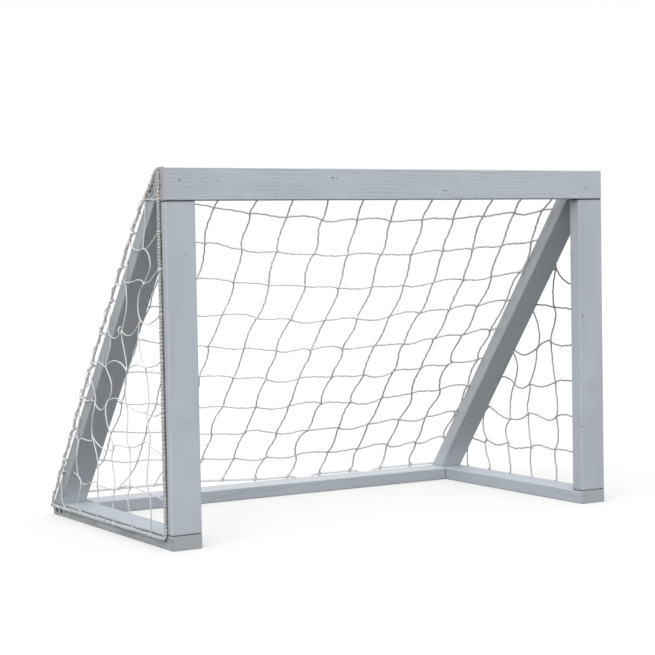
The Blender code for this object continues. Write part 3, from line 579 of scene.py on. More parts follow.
class Net:
    """One net: twine between knots, and ties where it ends on a cord."""

    def __init__(self, normal, radius, seed):
        self.normal = normal
        self.radius = radius
        self.random = random.Random(seed)
        self.skin = Skin()
        self.section = outline(radius, TWINE_SIDES, TWINE_LOBE)
        self.knot_radius = radius * KNOT_TWINE_SHARE
        self.knot_section = outline(self.knot_radius, KNOT_SIDES)

    def twine(self, points, swell=1.0):
        section = [(a * swell, b * swell) for a, b in self.section]
        self.skin.sweep(points, section, twist=math.tau / TWINE_LAY)

    def strand(self, a, b, slack, swell=1.0):
        """A slack strand from a to b. It leaves each knot at its own angle, so it becomes a C or an S."""
        chord = b - a
        length = chord.length
        along = chord / length
        aside = self.normal.cross(along)
        tangents = []
        for _ in range(2):
            turn = slack * self.random.uniform(-1, 1)
            lift = SLACK_LIFT_SHARE * slack * self.random.uniform(-1, 1)
            way = along * math.cos(turn) + aside * math.sin(turn) + self.normal * math.sin(lift)
            tangents.append(way.normalized() * length)
        count = max(TWINE_LEAST_STEPS, math.ceil(length / TWINE_STEP))
        height = WAVE_HEIGHT * min(1, length / FULL_WAVE_STRAND)
        phase = self.random.uniform(0, math.tau)
        waves = max(1, round(length / WAVE_LENGTH))
        points = []
        for step in range(count + 1):
            t = step / count
            place = (a * (2 * t ** 3 - 3 * t ** 2 + 1) + tangents[0] * (t ** 3 - 2 * t ** 2 + t)
                     + b * (3 * t ** 2 - 2 * t ** 3) + tangents[1] * (t ** 3 - t ** 2))
            wave = math.sin(math.tau * waves * t + phase) * math.sin(math.pi * t)
            points.append(place + aside * height * wave)
        self.twine(points, swell)

    def bowed_strand(self, a, b, bow):
        """A strand that passes a point set off from its middle, with a kink of its own on each half."""
        middle = (a + b) / 2 + bow
        aside = bow.cross(self.normal)
        kinks = [aside * self.random.uniform(-BOW_KINK_SHARE, BOW_KINK_SHARE) for _ in range(2)]
        quarter = a.lerp(middle, 0.5) + bow * BOW_FULLNESS + kinks[0]
        three_quarters = middle.lerp(b, 0.5) + bow * BOW_FULLNESS + kinks[1]
        self.twine(spline([a, quarter, middle, three_quarters, b], TWINE_STEP))

    def curl(self, knot):
        """A closed turn of twine beside a knot, sprung out of the net's plane."""
        across = Y_AXIS * math.cos(CURL_TURN) - self.normal * math.sin(CURL_TURN)
        centre = knot + Vector((0, *CURL_WAY)) + self.normal * CURL_RADIUS * math.sin(CURL_TURN)
        angles = [math.tau * step / CURL_STEPS for step in range(CURL_STEPS + 1)]
        spokes = [across * math.cos(angle) + Z_AXIS * math.sin(angle) for angle in angles]
        self.twine([centre + spoke * CURL_RADIUS for spoke in spokes])

    def knot(self, point):
        """A small hard knot, as a trefoil of twine pulled tight."""
        turn = self.random.uniform(0, math.tau)
        lean = self.random.uniform(-KNOT_LEAN, KNOT_LEAN)
        stance = self.normal.to_track_quat("Z", "Y").to_matrix()
        stance = stance @ Matrix.Rotation(turn, 3, "Z") @ Matrix.Rotation(lean, 3, "X")
        points = []
        for step in range(KNOT_STEPS):
            t = math.tau * step / KNOT_STEPS
            x = math.sin(t) + 2 * math.sin(2 * t)
            y = math.cos(t) - 2 * math.cos(2 * t)
            z = -KNOT_DEPTH * math.sin(3 * t)
            points.append(point + stance @ Vector((x, y * KNOT_FLATNESS, z)) * self.radius * KNOT_SHARE)
        self.skin.sweep(points, self.knot_section, closed=True)

    def tie(self, centre, along, toward, face=None):
        """A few turns of twine round a cord, closed with a knot on its side toward the net.

        face is the timber that the cord lies on, as (point, outward direction), if it lies on one.
        """
        radius = ROPE_RADIUS + TIE_STAND * self.knot_radius
        side = along.cross(toward).normalized()
        turns = self.random.choice(TIE_TURNS)
        pitch = self.random.uniform(*TIE_PITCHES) * self.knot_radius
        points = []
        for step in range(TIE_STEPS + 1):
            t = step / TIE_STEPS
            angle = math.tau * turns * t
            place = centre + toward * radius * math.cos(angle) + side * radius * math.sin(angle)
            place += along * pitch * turns * (t - 0.5)
            if face is not None:
                point, out = face
                depth = (place - point).dot(out)
                place += out * max(0, TIE_OFF_FACE * self.knot_radius - depth)
            points.append(place)
        self.skin.sweep(points, self.knot_section)
        drift = along * self.random.uniform(-TIE_DRIFT, TIE_DRIFT)
        self.knot(centre + drift + toward * (radius + self.random.uniform(0, TIE_KNOT_STAND) * self.radius))


def net_object(net, name, node, material):
    obj = net.skin.object(name, material)
    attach(obj, "root")
    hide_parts(node)


def back_row(j, first, last, length):
    return first + (length - first - last) * (j - 1) / (BACK_ROWS - 1)


def back_knots(across, down, out):
    """The knots of the back net by (column, row), with the ends of its strands on the cords."""
    upper, lower = brace_rope_line()
    edge_length = (lower - upper).length
    knots = {}
    for i in range(LAST_COLUMN + 1):
        for j in range(LAST_ROW + 1):
            x = back_column_x(i, j)
            top = at(x, TOP_ROPE_BACK, top_rope_z(x))
            rear = at(x, REAR_ROPE_BACK, REAR_ROPE_Z + REAR_ROPE_RISE)
            share = i / LAST_COLUMN
            tilt = BACK_TILT * (share - 0.5)
            edge_fall = back_row(j, BACK_EDGE_FIRST_MESH, BACK_EDGE_LAST_MESH, edge_length) + tilt
            edge_fall /= edge_length
            if j == 0:
                knots[i, j] = top + down * ROPE_STAND
            elif j == LAST_ROW:
                knots[i, j] = at(x, REAR_ROPE_BACK, rear_rope_z(x)) - down * ROPE_STAND
            elif i in (0, LAST_COLUMN):
                knots[i, j] = at(math.copysign(HALF_WIDTH, x), *brace_cord(edge_fall))
            else:
                length = (rear - top).length
                fall = (back_row(j, BACK_FIRST_MESH, BACK_LAST_MESH, length) + tilt) / length
                middle = top.lerp(rear, fall) - out * BACK_SAG * math.sin(math.pi * fall)
                edge = upper.lerp(lower, edge_fall)
                point = at(x, edge.x, edge.y).lerp(middle, math.sin(math.pi * share))
                down_stray = stray(i, j, BACK_STRAY_TURN)
                knots[i, j] = point + BACK_STRAY * (across * stray(i, j) + down * down_stray)
    return knots


def back_slack(i, j):
    """The back net hangs slacker towards its low right."""
    return BACK_SLACK + BACK_SLACK_GAIN * i / LAST_COLUMN * j / LAST_ROW


def back_swell(i):
    """The back net's twine is fluffed up more and more towards the right."""
    return 1 + BACK_TWINE_GAIN * (i / LAST_COLUMN - 0.5)


def make_back_net(material):
    upper, lower = brace_rope_line()
    across = X_AXIS
    down = Vector((0, lower.x - upper.x, lower.y - upper.y)).normalized()
    out = across.cross(down)
    net = Net(out, BACK_TWINE, BACK_SEED)
    knots = back_knots(across, down, out)
    for j in range(1, LAST_ROW):
        for i in range(1, BACK_COLUMNS):
            net.strand(knots[i, j], knots[i + 1, j], back_slack(i, j), back_swell(i))
        for edge, inner in ((0, 1), (LAST_COLUMN, BACK_COLUMNS)):
            start = knots[edge, j]
            net.strand(start, knots[inner, j], BACK_EDGE_SLACK, back_swell(inner))
            side = math.copysign(1, start.x)
            net.tie(Vector((side * SIDE_ROPE_X, start.y, start.z)), down, -across * side)
    for i in range(1, LAST_COLUMN):
        for j in range(LAST_ROW):
            net.strand(knots[i, j], knots[i, j + 1], back_slack(i, j), back_swell(i))
        foot = knots[i, LAST_ROW]
        head = knots[i, 0]
        net.tie(head - down * ROPE_STAND, across, down, (at(0, CROSSBAR_DEPTH, 0), Y_AXIS))
        net.tie(foot + down * ROPE_STAND, across, -down)
        for j in range(1, LAST_ROW):
            net.knot(knots[i, j])
    net_object(net, "back_net_twine", "back_net", material)


def side_net_edge():
    """The slope that the side nets are laid out by: how far back it is at the base cord, and its fall."""
    upper, lower = brace_rope_line()
    fall = (upper.y - lower.y) / (lower.x - upper.x)
    return lower.x - SIDE_CORNER_INSET * math.hypot(1, fall) / fall, fall


def side_column_back(i):
    corner_back, _ = side_net_edge()
    pitch = (corner_back - POST_ROPE_BACK - SIDE_FRONT_MESH - SIDE_REAR_MESH) / (SIDE_COLUMNS - 1)
    return POST_ROPE_BACK + SIDE_FRONT_MESH + pitch * (i - 1)


def side_row_z(j):
    corner_back, fall = side_net_edge()
    height = fall * (corner_back - POST_ROPE_BACK)
    pitch = (height - SIDE_LOW_MESH - SIDE_TOP_MESH) / (SIDE_ROWS - 1)
    return BASE_ROPE_Z + SIDE_LOW_MESH + pitch * (j - 1)


def make_side_net(label, side, radius, slack, seed, material):
    across = Y_AXIS
    down = -Z_AXIS
    net = Net(X_AXIS * side, radius, seed)
    x = side * SIDE_ROPE_X
    face = (Vector((side * HALF_WIDTH, 0, 0)), X_AXIS * side)
    _, fall = side_net_edge()
    inward = (down - across * fall).normalized()
    slope = inward.cross(X_AXIS).normalized()
    front_slack, most_slack, slackest_column = slack

    def clear(i, j):
        rise = brace_cord_where(0, side_column_back(i), SIDE_CORNER_INSET).y - side_row_z(j)
        return rise / math.hypot(1, fall)

    knots = {}
    for i in range(1, SIDE_COLUMNS + 1):
        knots[i, 0] = at(x, side_column_back(i), BASE_ROPE_Z + ROPE_STAND)
        for j in range(1, SIDE_ROWS + 1):
            point = at(x, side_column_back(i), side_row_z(j))
            room = clear(i, j)
            if room >= SIDE_MERGE:
                amount = min(SIDE_STRAY, room / SIDE_STRAY_ROOM)
                down_stray = stray(i, j, SIDE_STRAY_TURN + side)
                knots[i, j] = point + amount * (across * stray(i, j, side) + down * down_stray)
            elif room > -SIDE_MERGE:
                knots[i, j] = point - inward * room
    for j in range(1, SIDE_ROWS + 1):
        knots[0, j] = at(x, POST_ROPE_BACK + ROPE_STAND, side_row_z(j))
    for key, pull in KNOT_PULLS[label].items():
        knots[key] += Vector((0, *pull))

    columns = [[(i, j) for j in range(SIDE_ROWS + 1)] for i in range(1, SIDE_COLUMNS + 1)]
    rows = [[(i, j) for i in range(SIDE_COLUMNS + 1)] for j in range(1, SIDE_ROWS + 1)]
    for axis, lines in ((0, columns), (1, rows)):
        for line in lines:
            keys = [key for key in line if key in knots]
            if len(keys) == 1:
                del knots[keys[0]]
                continue
            if clear(*keys[-1]) >= SIDE_MERGE:
                value = side_row_z(line[0][1]) if axis else side_column_back(line[0][0])
                knots["end", line[0]] = at(x, *brace_cord_where(axis, value, ROPE_STAND))
                keys.append(("end", line[0]))
            for a, b in zip(keys, keys[1:]):
                bow = STRAND_BOWS[label].get(a + b)
                if bow:
                    net.bowed_strand(knots[a], knots[b], Vector((0, *bow)))
                else:
                    share = min(a[0], slackest_column) / slackest_column
                    net.strand(knots[a], knots[b], front_slack + (most_slack - front_slack) * share)
    for key, point in knots.items():
        if key[0] == "end":
            net.tie(point - inward * ROPE_STAND, slope, inward)
        elif key[0] == 0:
            net.tie(point - across * ROPE_STAND, down, across, face)
        elif key[1] == 0:
            net.tie(point + down * ROPE_STAND, across, -down, face)
        elif clear(*key) >= SIDE_MERGE:
            net.knot(point)
        else:
            net.tie(point - inward * SIDE_CORNER_INSET, slope, inward)
    if label == CURL_NET:
        net.curl(knots[CURL_KNOT])
    net_object(net, f"side_net_{label}_twine", f"side_net_{label}", material)


# Materials

class Value:
    """What a node puts out. It works in sums and products with numbers and with other values."""

    def __init__(self, nodes, socket):
        self.nodes = nodes
        self.socket = socket

    def __add__(self, other):
        return self.nodes.math("ADD", self, other)

    def __sub__(self, other):
        return self.nodes.math("SUBTRACT", self, other)

    def __rsub__(self, other):
        return self.nodes.math("SUBTRACT", other, self)

    def __mul__(self, other):
        return self.nodes.math("MULTIPLY", self, other)


class Nodes:
    """Short calls for building the node tree of a material or a world."""

    def __init__(self, owner):
        owner.use_nodes = True
        self.owner = owner
        self.tree = owner.node_tree
        self.shader = self.tree.nodes.get("Principled BSDF")

    def add(self, kind, inputs, output=0, **settings):
        node = self.tree.nodes.new("ShaderNode" + kind)
        for key, value in settings.items():
            setattr(node, key, value)
        for key, value in inputs.items():
            self.feed(node.inputs[key], value)
        return Value(self, node.outputs[output])

    def feed(self, socket, value):
        if isinstance(value, Value):
            self.tree.links.new(value.socket, socket)
        else:
            socket.default_value = (*value, 1.0) if socket.type == "RGBA" else value

    def surface(self, name, value):
        self.feed(self.shader.inputs[name], value)

    def math(self, operation, a, b=0.0):
        return self.add("Math", {0: a, 1: b}, operation=operation)

    def vector(self, operation, a, b=(0.0, 0.0, 0.0)):
        output = "Value" if operation in ("DOT_PRODUCT", "LENGTH", "DISTANCE") else "Vector"
        return self.add("VectorMath", {0: a, 1: b}, output, operation=operation)

    def coordinates(self):
        return self.add("TexCoord", {}, "Object")

    def measure(self, way, point=None):
        """How far a point lies along a direction, with the shaded point as the default."""
        return self.vector("DOT_PRODUCT", point or self.coordinates(), way)

    def noise(self, vector, detail=3.0, roughness=0.55):
        inputs = {"Vector": vector, "Scale": 1.0, "Detail": detail, "Roughness": roughness}
        return self.add("TexNoise", inputs)

    def span(self, value, low, high, to_low, to_high):
        """Runs from to_low to to_high while value goes from low to high, and holds them beyond."""
        inputs = {"Value": value, "From Min": low, "From Max": high, "To Min": to_low, "To Max": to_high}
        return self.add("MapRange", inputs)

    def rise(self, value, low, high, most=1.0):
        return self.span(value, low, high, 0.0, most)

    def fade(self, value, low, high, most=1.0):
        return self.span(value, low, high, most, 0.0)

    def tint(self, factor, a, b):
        """From colour a to colour b. A Mix node takes colours at sockets 6 and 7, and gives one at 2."""
        return self.add("Mix", {0: factor, 6: a, 7: b}, 2, data_type="RGBA")

    def bump(self, height, strength, distance):
        inputs = {"Height": height, "Strength": strength, "Distance": distance}
        self.surface("Normal", self.add("Bump", inputs))


PAINT_LIGHT = (0.462, 0.506, 0.556)
PAINT_DARK = (0.420, 0.460, 0.508)
PAINT_SHADE = (0.250, 0.275, 0.295)
PAINT_WORN = (0.660, 0.685, 0.705)
# A painted highlight, on the crossbar's upper front arris, the rear bar's top and the braces' lower faces
# near the foot
PAINT_HIGHLIGHT = (0.800, 0.820, 0.835)
BARE_WOOD = (0.300, 0.215, 0.135)
END_GRAIN = (0.375, 0.395, 0.415)
CROSSBAR_END = (0.420, 0.430, 0.435)
RUST = (0.300, 0.165, 0.095)
DIRT = (0.150, 0.145, 0.125)
# Dark joints, and the painted shade inside the side bars' bores
SEAM_AND_BORE_SHADE = (0.020, 0.020, 0.019)
CORD_SHADOW = (0.075, 0.078, 0.080)
BASE_SOIL = (0.225, 0.232, 0.232)
KNOT_STAIN = (0.130, 0.135, 0.140)

# How each timber is painted. along and across are the directions of its length and width. Its ends are free,
# with bare end grain, or a seam, with a dark joint. figure is how strongly the grain shows, wear is how much
# paint the arrises have lost, and tone is how the board has taken the paint, against the plain tones.
Board = namedtuple("Board", "along across ends figure wear tone")
EVEN_TONE = (1.0, 1.0, 1.0)
BOARDS = {
    "crossbar": Board(X_AXIS, Z_AXIS, "free", 1.0, 0.30, (1.03, 1.03, 1.03)),
    "rear_bar": Board(X_AXIS, Y_AXIS, "seam", 0.50, 0.55, EVEN_TONE),
    "post_left": Board(Z_AXIS, X_AXIS, "seam", 0.22, 0.10, EVEN_TONE),
    "post_right": Board(Z_AXIS, X_AXIS, "seam", 0.35, 0.10, (0.965, 0.955, 0.955)),
    "side_bar_left": Board(Y_AXIS, X_AXIS, "free", 0.50, 0.55, EVEN_TONE),
    "side_bar_right": Board(Y_AXIS, X_AXIS, "free", 0.50, 0.55, EVEN_TONE),
    "brace_left": Board(BRACE_ALONG, X_AXIS, "seam", 0.35, 0.10, (0.94, 0.92, 0.90)),
    "brace_right": Board(BRACE_ALONG, X_AXIS, "seam", 0.35, 0.10, (0.97, 0.95, 0.93)),
}

# Noise on a timber: cycles a metre along and across it, the detail, and the values between which it comes up
Pattern = namedtuple("Pattern", "lengthwise crosswise detail low high")
MOTTLE = Pattern(3.0, 14.0, 3.0, 0.35, 0.68)
BRUSH_LINES = Pattern(5.0, 240.0, 2.0, 0.55, 0.75)
RING_PATCHES = Pattern(5.0, 9.0, 3.0, 0.40, 0.64)
SCRATCHES = Pattern(30.0, 330.0, 1.0, 0.64, 0.74)
ARRIS_RUBS = Pattern(40.0, 90.0, 3.0, 0.46, 0.60)
ARRIS_CHIPS = Pattern(120.0, 200.0, 3.0, 0.68, 0.70)
SHADOW_BREAKS = Pattern(11.0, 4.0, 1.0, 0.35, 0.60)
END_FLECKS = Pattern(300.0, 380.0, 2.0, 0.50, 0.66)
RUST_SPOTS = Pattern(150.0, 110.0, 1.0, 0.62, 0.66)
SOIL_STREAKS = Pattern(9.0, 60.0, 3.0, 0.34, 0.60)
SOIL_SPECKS = Pattern(170.0, 420.0, 2.0, 0.52, 0.66)

# Noise that bends lines, frays edges or raises the surface: cycles a metre along and across, the detail and
# the amount
Warp = namedtuple("Warp", "lengthwise crosswise detail amount")
FIBRE = Warp(14.0, 520.0, 4.0, 0.45)
RING_SWAY = Warp(1.6, 7.0, 1.0, 26.0)
RING_WANDER = Warp(9.0, 16.0, 2.0, 9.0)
LEFT_WANDER = Warp(26.0, 46.0, 2.0, 11.0)
LOW_LEFT_WARP = Warp(27.0, 34.0, 2.0, 15.0)
SWIRL_WARP = Warp(42.0, 60.0, 2.0, 30.0)
SPECKLE = Warp(260.0, 260.0, 2.0, 0.005)
END_RAGGEDNESS = Warp(90.0, 260.0, 2.0, 0.006)
END_DIRT = Warp(60.0, 60.0, 3.0, 1.0)

# How far apart the timbers lie in the noise, so that no two are alike
NOISE_SHIFT = 3.7

# The grain's lines: their pitch, between which values of their sine they come up, and how strongly
RING_PITCH = 0.0115
RING_TURN = 160.0
RINGS = (0.70, 1.0, 0.50)
LOW_LEFT_PITCH = 0.0060
LOW_LEFT_RINGS = (0.35, 0.95, 0.60)
SWIRL_PITCH = 0.0055
SWIRL_RINGS = (0.50, 1.0, 0.70)
BRUSH_STRENGTH = 0.30
SCRATCH_STRENGTH = 0.55

# Bands of colour or grain: the distances between which each comes up or fades, and its strength if not full
LEFT_STRETCH = (0.04, 0.28)
LOW_PART = (-0.016, 0.012)
ARRIS = (0.0008, 0.0030)
FRONT_STRIP = (0.0050, 0.0080)
UNDER_EDGE = (0.0005, 0.0036, 0.40)
# The crossbar's painted highlight, and the painted shade along its foot
TOP_HIGHLIGHT = (-0.0006, 0.0004)
CROSSBAR_FOOT_SHADE = (0.0014, 0.0032, 0.85)
SIDE_SKIN = (0.0002, 0.0008)
SHADOW_FRONT = (-0.0080, -0.0030)
SHADOW_BACK = (0.0040, 0.0060)
OUTER_SKIN = (0.003, 0.001)
TOP_SKIN = (-0.003, -0.001)
SOILED_SKIN = (-0.004, -0.0005)
GROOVE_SKIN = (-0.004, -0.001)
CORD_START = 0.006
BRACE_FOOT_STRETCH = (0.03, 0.27)
BARE_END = (0.0006, 0.0022, 0.85)
FLECKED_END = (0.0004, 0.0016)
RUSTY_END = (0.003, 0.010, 0.70)
DIRTY_END = (0.001, 0.010, 0.45)
CORD_GROOVE_INNER = (0.0028, 0.0038, 0.75)
CORD_GROOVE_OUTER = (0.0068, 0.0086)
SCREW_BORE = (0.0060, 0.0068)

# How strong some of these are
CHIP_GAIN = 1.5
SHADOW_STRENGTHS = (0.95, 0.45)
# How strong the painted highlight on the rear bar's top face is
REAR_BAR_HIGHLIGHT_STRENGTH = 0.25
# Painted light on a brace's lower face near the foot, and painted shade on the left brace's outer face, at
# the foot and at the top
BRACE_FOOT_LIGHT_STRENGTH = 0.50
BRACE_OUTER_SHADE = (0.70, 0.25)
FLECK_STRENGTH = 0.60
SEAM_CORE = 0.6
SEAM_STRENGTH = 0.97
SOIL_STRENGTH = 0.75
SOIL_LEAST = 0.25
RING_LEAST = 0.12

# The surface: between which values most of a noise lies, what the roughness runs between, and the relief
NOISE_BULK = (0.3, 0.7)
PAINT_ROUGHNESS = (0.45, 0.62)
PAINT_BUMP = 0.35
PAINT_RELIEF = 0.0011
BRUSH_RELIEF = 0.30
RING_DENT = 0.45
SCRATCH_DENT = 0.30
ZINC_DARK = (0.42, 0.41, 0.39)
ZINC_LIGHT = (0.68, 0.67, 0.64)
ZINC_FINENESS = 900.0
ZINC_ROUGHNESS = (0.28, 0.50)
ZINC_BUMP = 0.15
ZINC_RELIEF = 0.0002

# Cord and twine: the noise values that bring up speckles and dark patches, and where the colours change
FIBRE_NOISE = (4.0, 0.65)
PATCH_FINENESS = 21.0
PATCH_DETAIL = 2.0
FIBRE_SPECKLE = (0.35, 0.68)
FIBRE_DARK_PATCHES = (0.52, 0.72, 0.35)
FIBRE_SHEEN = 0.25
FIBRE_BUMP = 0.5
PALER_CORD = (0.95, 0.95, 0.94)
PAINTED_CORD = (0.50, 0.54, 0.585)
CORD_COLOURS = ((0.55, 0.55, 0.545), (0.42, 0.42, 0.415))
LACE_COLOURS = ((0.60, 0.60, 0.595), (0.46, 0.46, 0.455))
PALE_CORD_COLOURS = ((0.80, 0.81, 0.82), (0.60, 0.61, 0.62))
BACK_COLOURS = ((1.0, 0.99, 0.98), (0.90, 0.89, 0.88))
BACK_SOIL = (0.54, 0.53, 0.525)
LEFT_COLOURS = ((0.88, 0.885, 0.90), (0.62, 0.63, 0.645))
LEFT_FOOT = ((0.50, 0.53, 0.58), (0.090, 0.200))
RIGHT_COLOURS = ((0.33, 0.265, 0.255), (0.18, 0.142, 0.136))
RIGHT_FOOT = ((0.56, 0.55, 0.55), (0.25, 0.75))
LOW_RIGHT = (0.8, 0.0, -0.8)
SOILED_NET = (-0.75, 0.05, 0.90)
FOOT_STRENGTH = 0.75
PALER_BACK = (0.060, 0.110)
PALER_STRENGTH = 0.34
PAINTED_RISE = (0.005, 0.010)
PAINTED_STRENGTH = 0.85

# How a fibre is spun: its fineness in cycles a metre, the range of its roughness, and its relief
CORD_SPIN = (700.0, (0.60, 0.80), 0.0003)
LACE_SPIN = (900.0, (0.60, 0.80), 0.0003)
TWINE_SPIN = (1100.0, (0.55, 0.75), 0.0001)

# The painted highlight along the crossbar's upper front arris has these widths at its left and right ends
TOP_HIGHLIGHT_WIDTHS = (0.0043, 0.0075)

# How wide the dark joint is at the ends of a brace or the rear bar, and of a post
SEAM_WIDTHS = (0.0020, 0.0036)

# Knots and dents that show through the paint on the front faces, as (x, z, radius, depth)
MARKS = {
    "crossbar": (
        (-0.706, HEIGHT - 0.038, 0.0036, 0.7),
        (-0.225, HEIGHT - 0.030, 0.0034, 0.9),
        (-0.212, HEIGHT - 0.031, 0.0022, 0.8),
        (0.159, HEIGHT - 0.066, 0.0028, 0.9),
        (0.171, HEIGHT - 0.067, 0.0022, 0.9),
        (0.692, HEIGHT - 0.060, 0.0050, 0.5),
    ),
    "post_right": (
        (0.671, 0.586, 0.0042, 0.9),
        (0.676, 0.562, 0.0050, 0.25),
        (0.672, 0.296, 0.0026, 0.8),
        (0.662, 0.242, 0.0026, 0.8),
        (0.668, 0.238, 0.0020, 0.6),
        (0.702, 0.268, 0.0022, 0.5),
        (0.677, 0.210, 0.0024, 0.6),
        (0.690, 0.222, 0.0020, 0.5),
    ),
    "post_left": (
        (-0.712, 0.338, 0.0024, 0.5),
        (-0.690, 0.800, 0.0026, 0.6),
    ),
}
MARK_LENGTH_SHARE = 0.5
MARK_CORE = 0.30
MARK_RAGGEDNESS = 1.6
MARK_DENT = 0.7

# Where the grain swirls across a front face in fine ripples, as (x, z, radius)
SWIRLS = {
    "post_right": ((0.704, 0.365, 0.040), (0.680, 0.250, 0.060)),
    "post_left": ((-0.705, 0.342, 0.042),),
}
SWIRL_CORE = 0.3


class Paint(Nodes):
    """Brushed paint over one planed timber, laid on in the order of its methods.

    u, v and w are distances from the timber's middle along its length, its width and its thickness.
    """

    def __init__(self, timber):
        super().__init__(bpy.data.materials.new(timber + "_paint"))
        self.timber = timber
        self.board = BOARDS[timber]
        middle, self.half = middle_and_half(timber)
        self.through = self.board.along.cross(self.board.across)
        offset = self.vector("SUBTRACT", self.coordinates(), middle)
        ways = (self.board.along, self.board.across, self.through)
        self.u, self.v, self.w = (self.measure(way, offset) for way in ways)
        shifted = self.u + (sorted(BOARDS).index(timber) + 1) * NOISE_SHIFT
        self.local = self.add("CombineXYZ", {0: shifted, 1: self.v, 2: self.w})
        self.brush = self.grain(BRUSH_LINES)
        self.speckle = self.grain(SPECKLE)

    def grain(self, noise):
        stretch = (noise.lengthwise, noise.crosswise, noise.crosswise)
        return self.noise(self.vector("MULTIPLY", self.local, stretch), noise.detail)

    def pattern(self, pattern, most=1.0, least=0.0):
        return self.span(self.grain(pattern), pattern.low, pattern.high, least, most)

    def warp(self, warp):
        return self.grain(warp) * warp.amount

    def ragged(self, noise, amount):
        return (noise - 0.5) * amount

    def lines(self, phase, low, high, most):
        """Lines that come up once in each turn of the phase."""
        return self.rise(self.math("SINE", phase), low, high, most)

    def stain(self, colour, factor):
        self.colour = self.tint(factor, self.colour, colour)

    def tones_and_grain(self):
        tones = [tuple(a * b for a, b in zip(tone, self.board.tone)) for tone in (PAINT_DARK, PAINT_LIGHT)]
        self.colour = self.tint(self.pattern(MOTTLE), *tones)
        self.stain(PAINT_DARK, self.rise(self.brush, BRUSH_LINES.low, BRUSH_LINES.high, BRUSH_STRENGTH))
        low, high, most = RINGS
        phase = self.v * (math.tau / RING_PITCH) + self.w * RING_TURN + self.warp(RING_SWAY)
        patches = self.pattern(RING_PATCHES, least=RING_LEAST)
        if self.timber == "crossbar":
            left = self.fade(self.u, *moved(LEFT_STRETCH, -self.half[0]))
            wander = left * self.grain(LEFT_WANDER) * LEFT_WANDER.amount
            rings = self.lines(phase + wander, low, high, most * self.board.figure)
            rings = rings * self.math("MAXIMUM", patches, left)
            low_left = left * self.fade(self.v, *LOW_PART)
            phase = self.v * (math.tau / LOW_LEFT_PITCH) + self.warp(LOW_LEFT_WARP)
            ripple = self.lines(phase, *LOW_LEFT_RINGS)
            rings = rings * (1.0 - low_left) + ripple * low_left
        else:
            rings = self.lines(phase + self.warp(RING_WANDER), low, high, most * self.board.figure) * patches
        self.stain(PAINT_SHADE, rings)
        scratches = self.pattern(SCRATCHES, SCRATCH_STRENGTH * self.board.figure)
        self.stain(PAINT_SHADE, scratches)
        relief = self.warp(FIBRE) + self.brush * BRUSH_RELIEF
        self.height = relief - rings * RING_DENT - scratches * SCRATCH_DENT

    def worn_arrises(self):
        to_side = self.half[1] - self.math("ABSOLUTE", self.v)
        to_face = self.half[2] - self.math("ABSOLUTE", self.w)
        arris = self.fade(self.math("MAXIMUM", to_side, to_face), *ARRIS)
        self.stain(PAINT_WORN, arris * self.pattern(ARRIS_RUBS, self.board.wear))
        self.stain(BARE_WOOD, arris * self.pattern(ARRIS_CHIPS, CHIP_GAIN * self.board.wear))

    def crossbar_highlight_and_shade(self):
        """A painted highlight on the upper front arris, a dark line under it, and painted shade along the
        foot.
        """
        front = self.fade(self.half[2] - self.w, *FRONT_STRIP)
        below = self.half[1] - self.v - self.span(self.u, -self.half[0], self.half[0], *TOP_HIGHLIGHT_WIDTHS)
        self.stain(PAINT_SHADE, self.fade(below, *UNDER_EDGE) * front)
        self.stain(PAINT_HIGHLIGHT, self.fade(below, *TOP_HIGHLIGHT) * front)
        self.stain(PAINT_SHADE, self.fade(self.v + self.half[1], *CROSSBAR_FOOT_SHADE))

    def post_left_shadow(self):
        """The cord's shadow on the post's outer face, just before the cord."""
        face = self.fade(self.v, *moved(SIDE_SKIN, -self.half[1]))
        to_cord = self.w - (POST_ROPE_BACK - ROPE_RADIUS - self.half[2])
        band = face * self.rise(to_cord, *SHADOW_FRONT) * self.fade(to_cord, *SHADOW_BACK)
        self.stain(CORD_SHADOW, band * self.pattern(SHADOW_BREAKS, *SHADOW_STRENGTHS))

    def rear_bar_top_highlight(self):
        # Painted highlight: the top face is painted lighter, for the light that falls on it from above
        self.stain(PAINT_HIGHLIGHT, self.rise(self.w, *moved(TOP_SKIN, self.half[2]), REAR_BAR_HIGHLIGHT_STRENGTH))

    def brace_light_and_shade(self):
        """The lower face has painted light towards the foot, and the left brace's outer face painted shade.
        """
        foot = self.fade(self.u, *moved(BRACE_FOOT_STRETCH, -self.half[0]))
        under = self.rise(self.w, *moved(OUTER_SKIN, -self.half[2]), BRACE_FOOT_LIGHT_STRENGTH)
        self.stain(PAINT_HIGHLIGHT, foot * foot * under)
        if self.timber == "brace_left":
            outer = self.rise(self.v, *moved(OUTER_SKIN, -self.half[1]))
            shaded_and_toned = outer * self.span(self.u, -self.half[0], self.half[0], *BRACE_OUTER_SHADE)
            self.stain(PAINT_SHADE, shaded_and_toned)

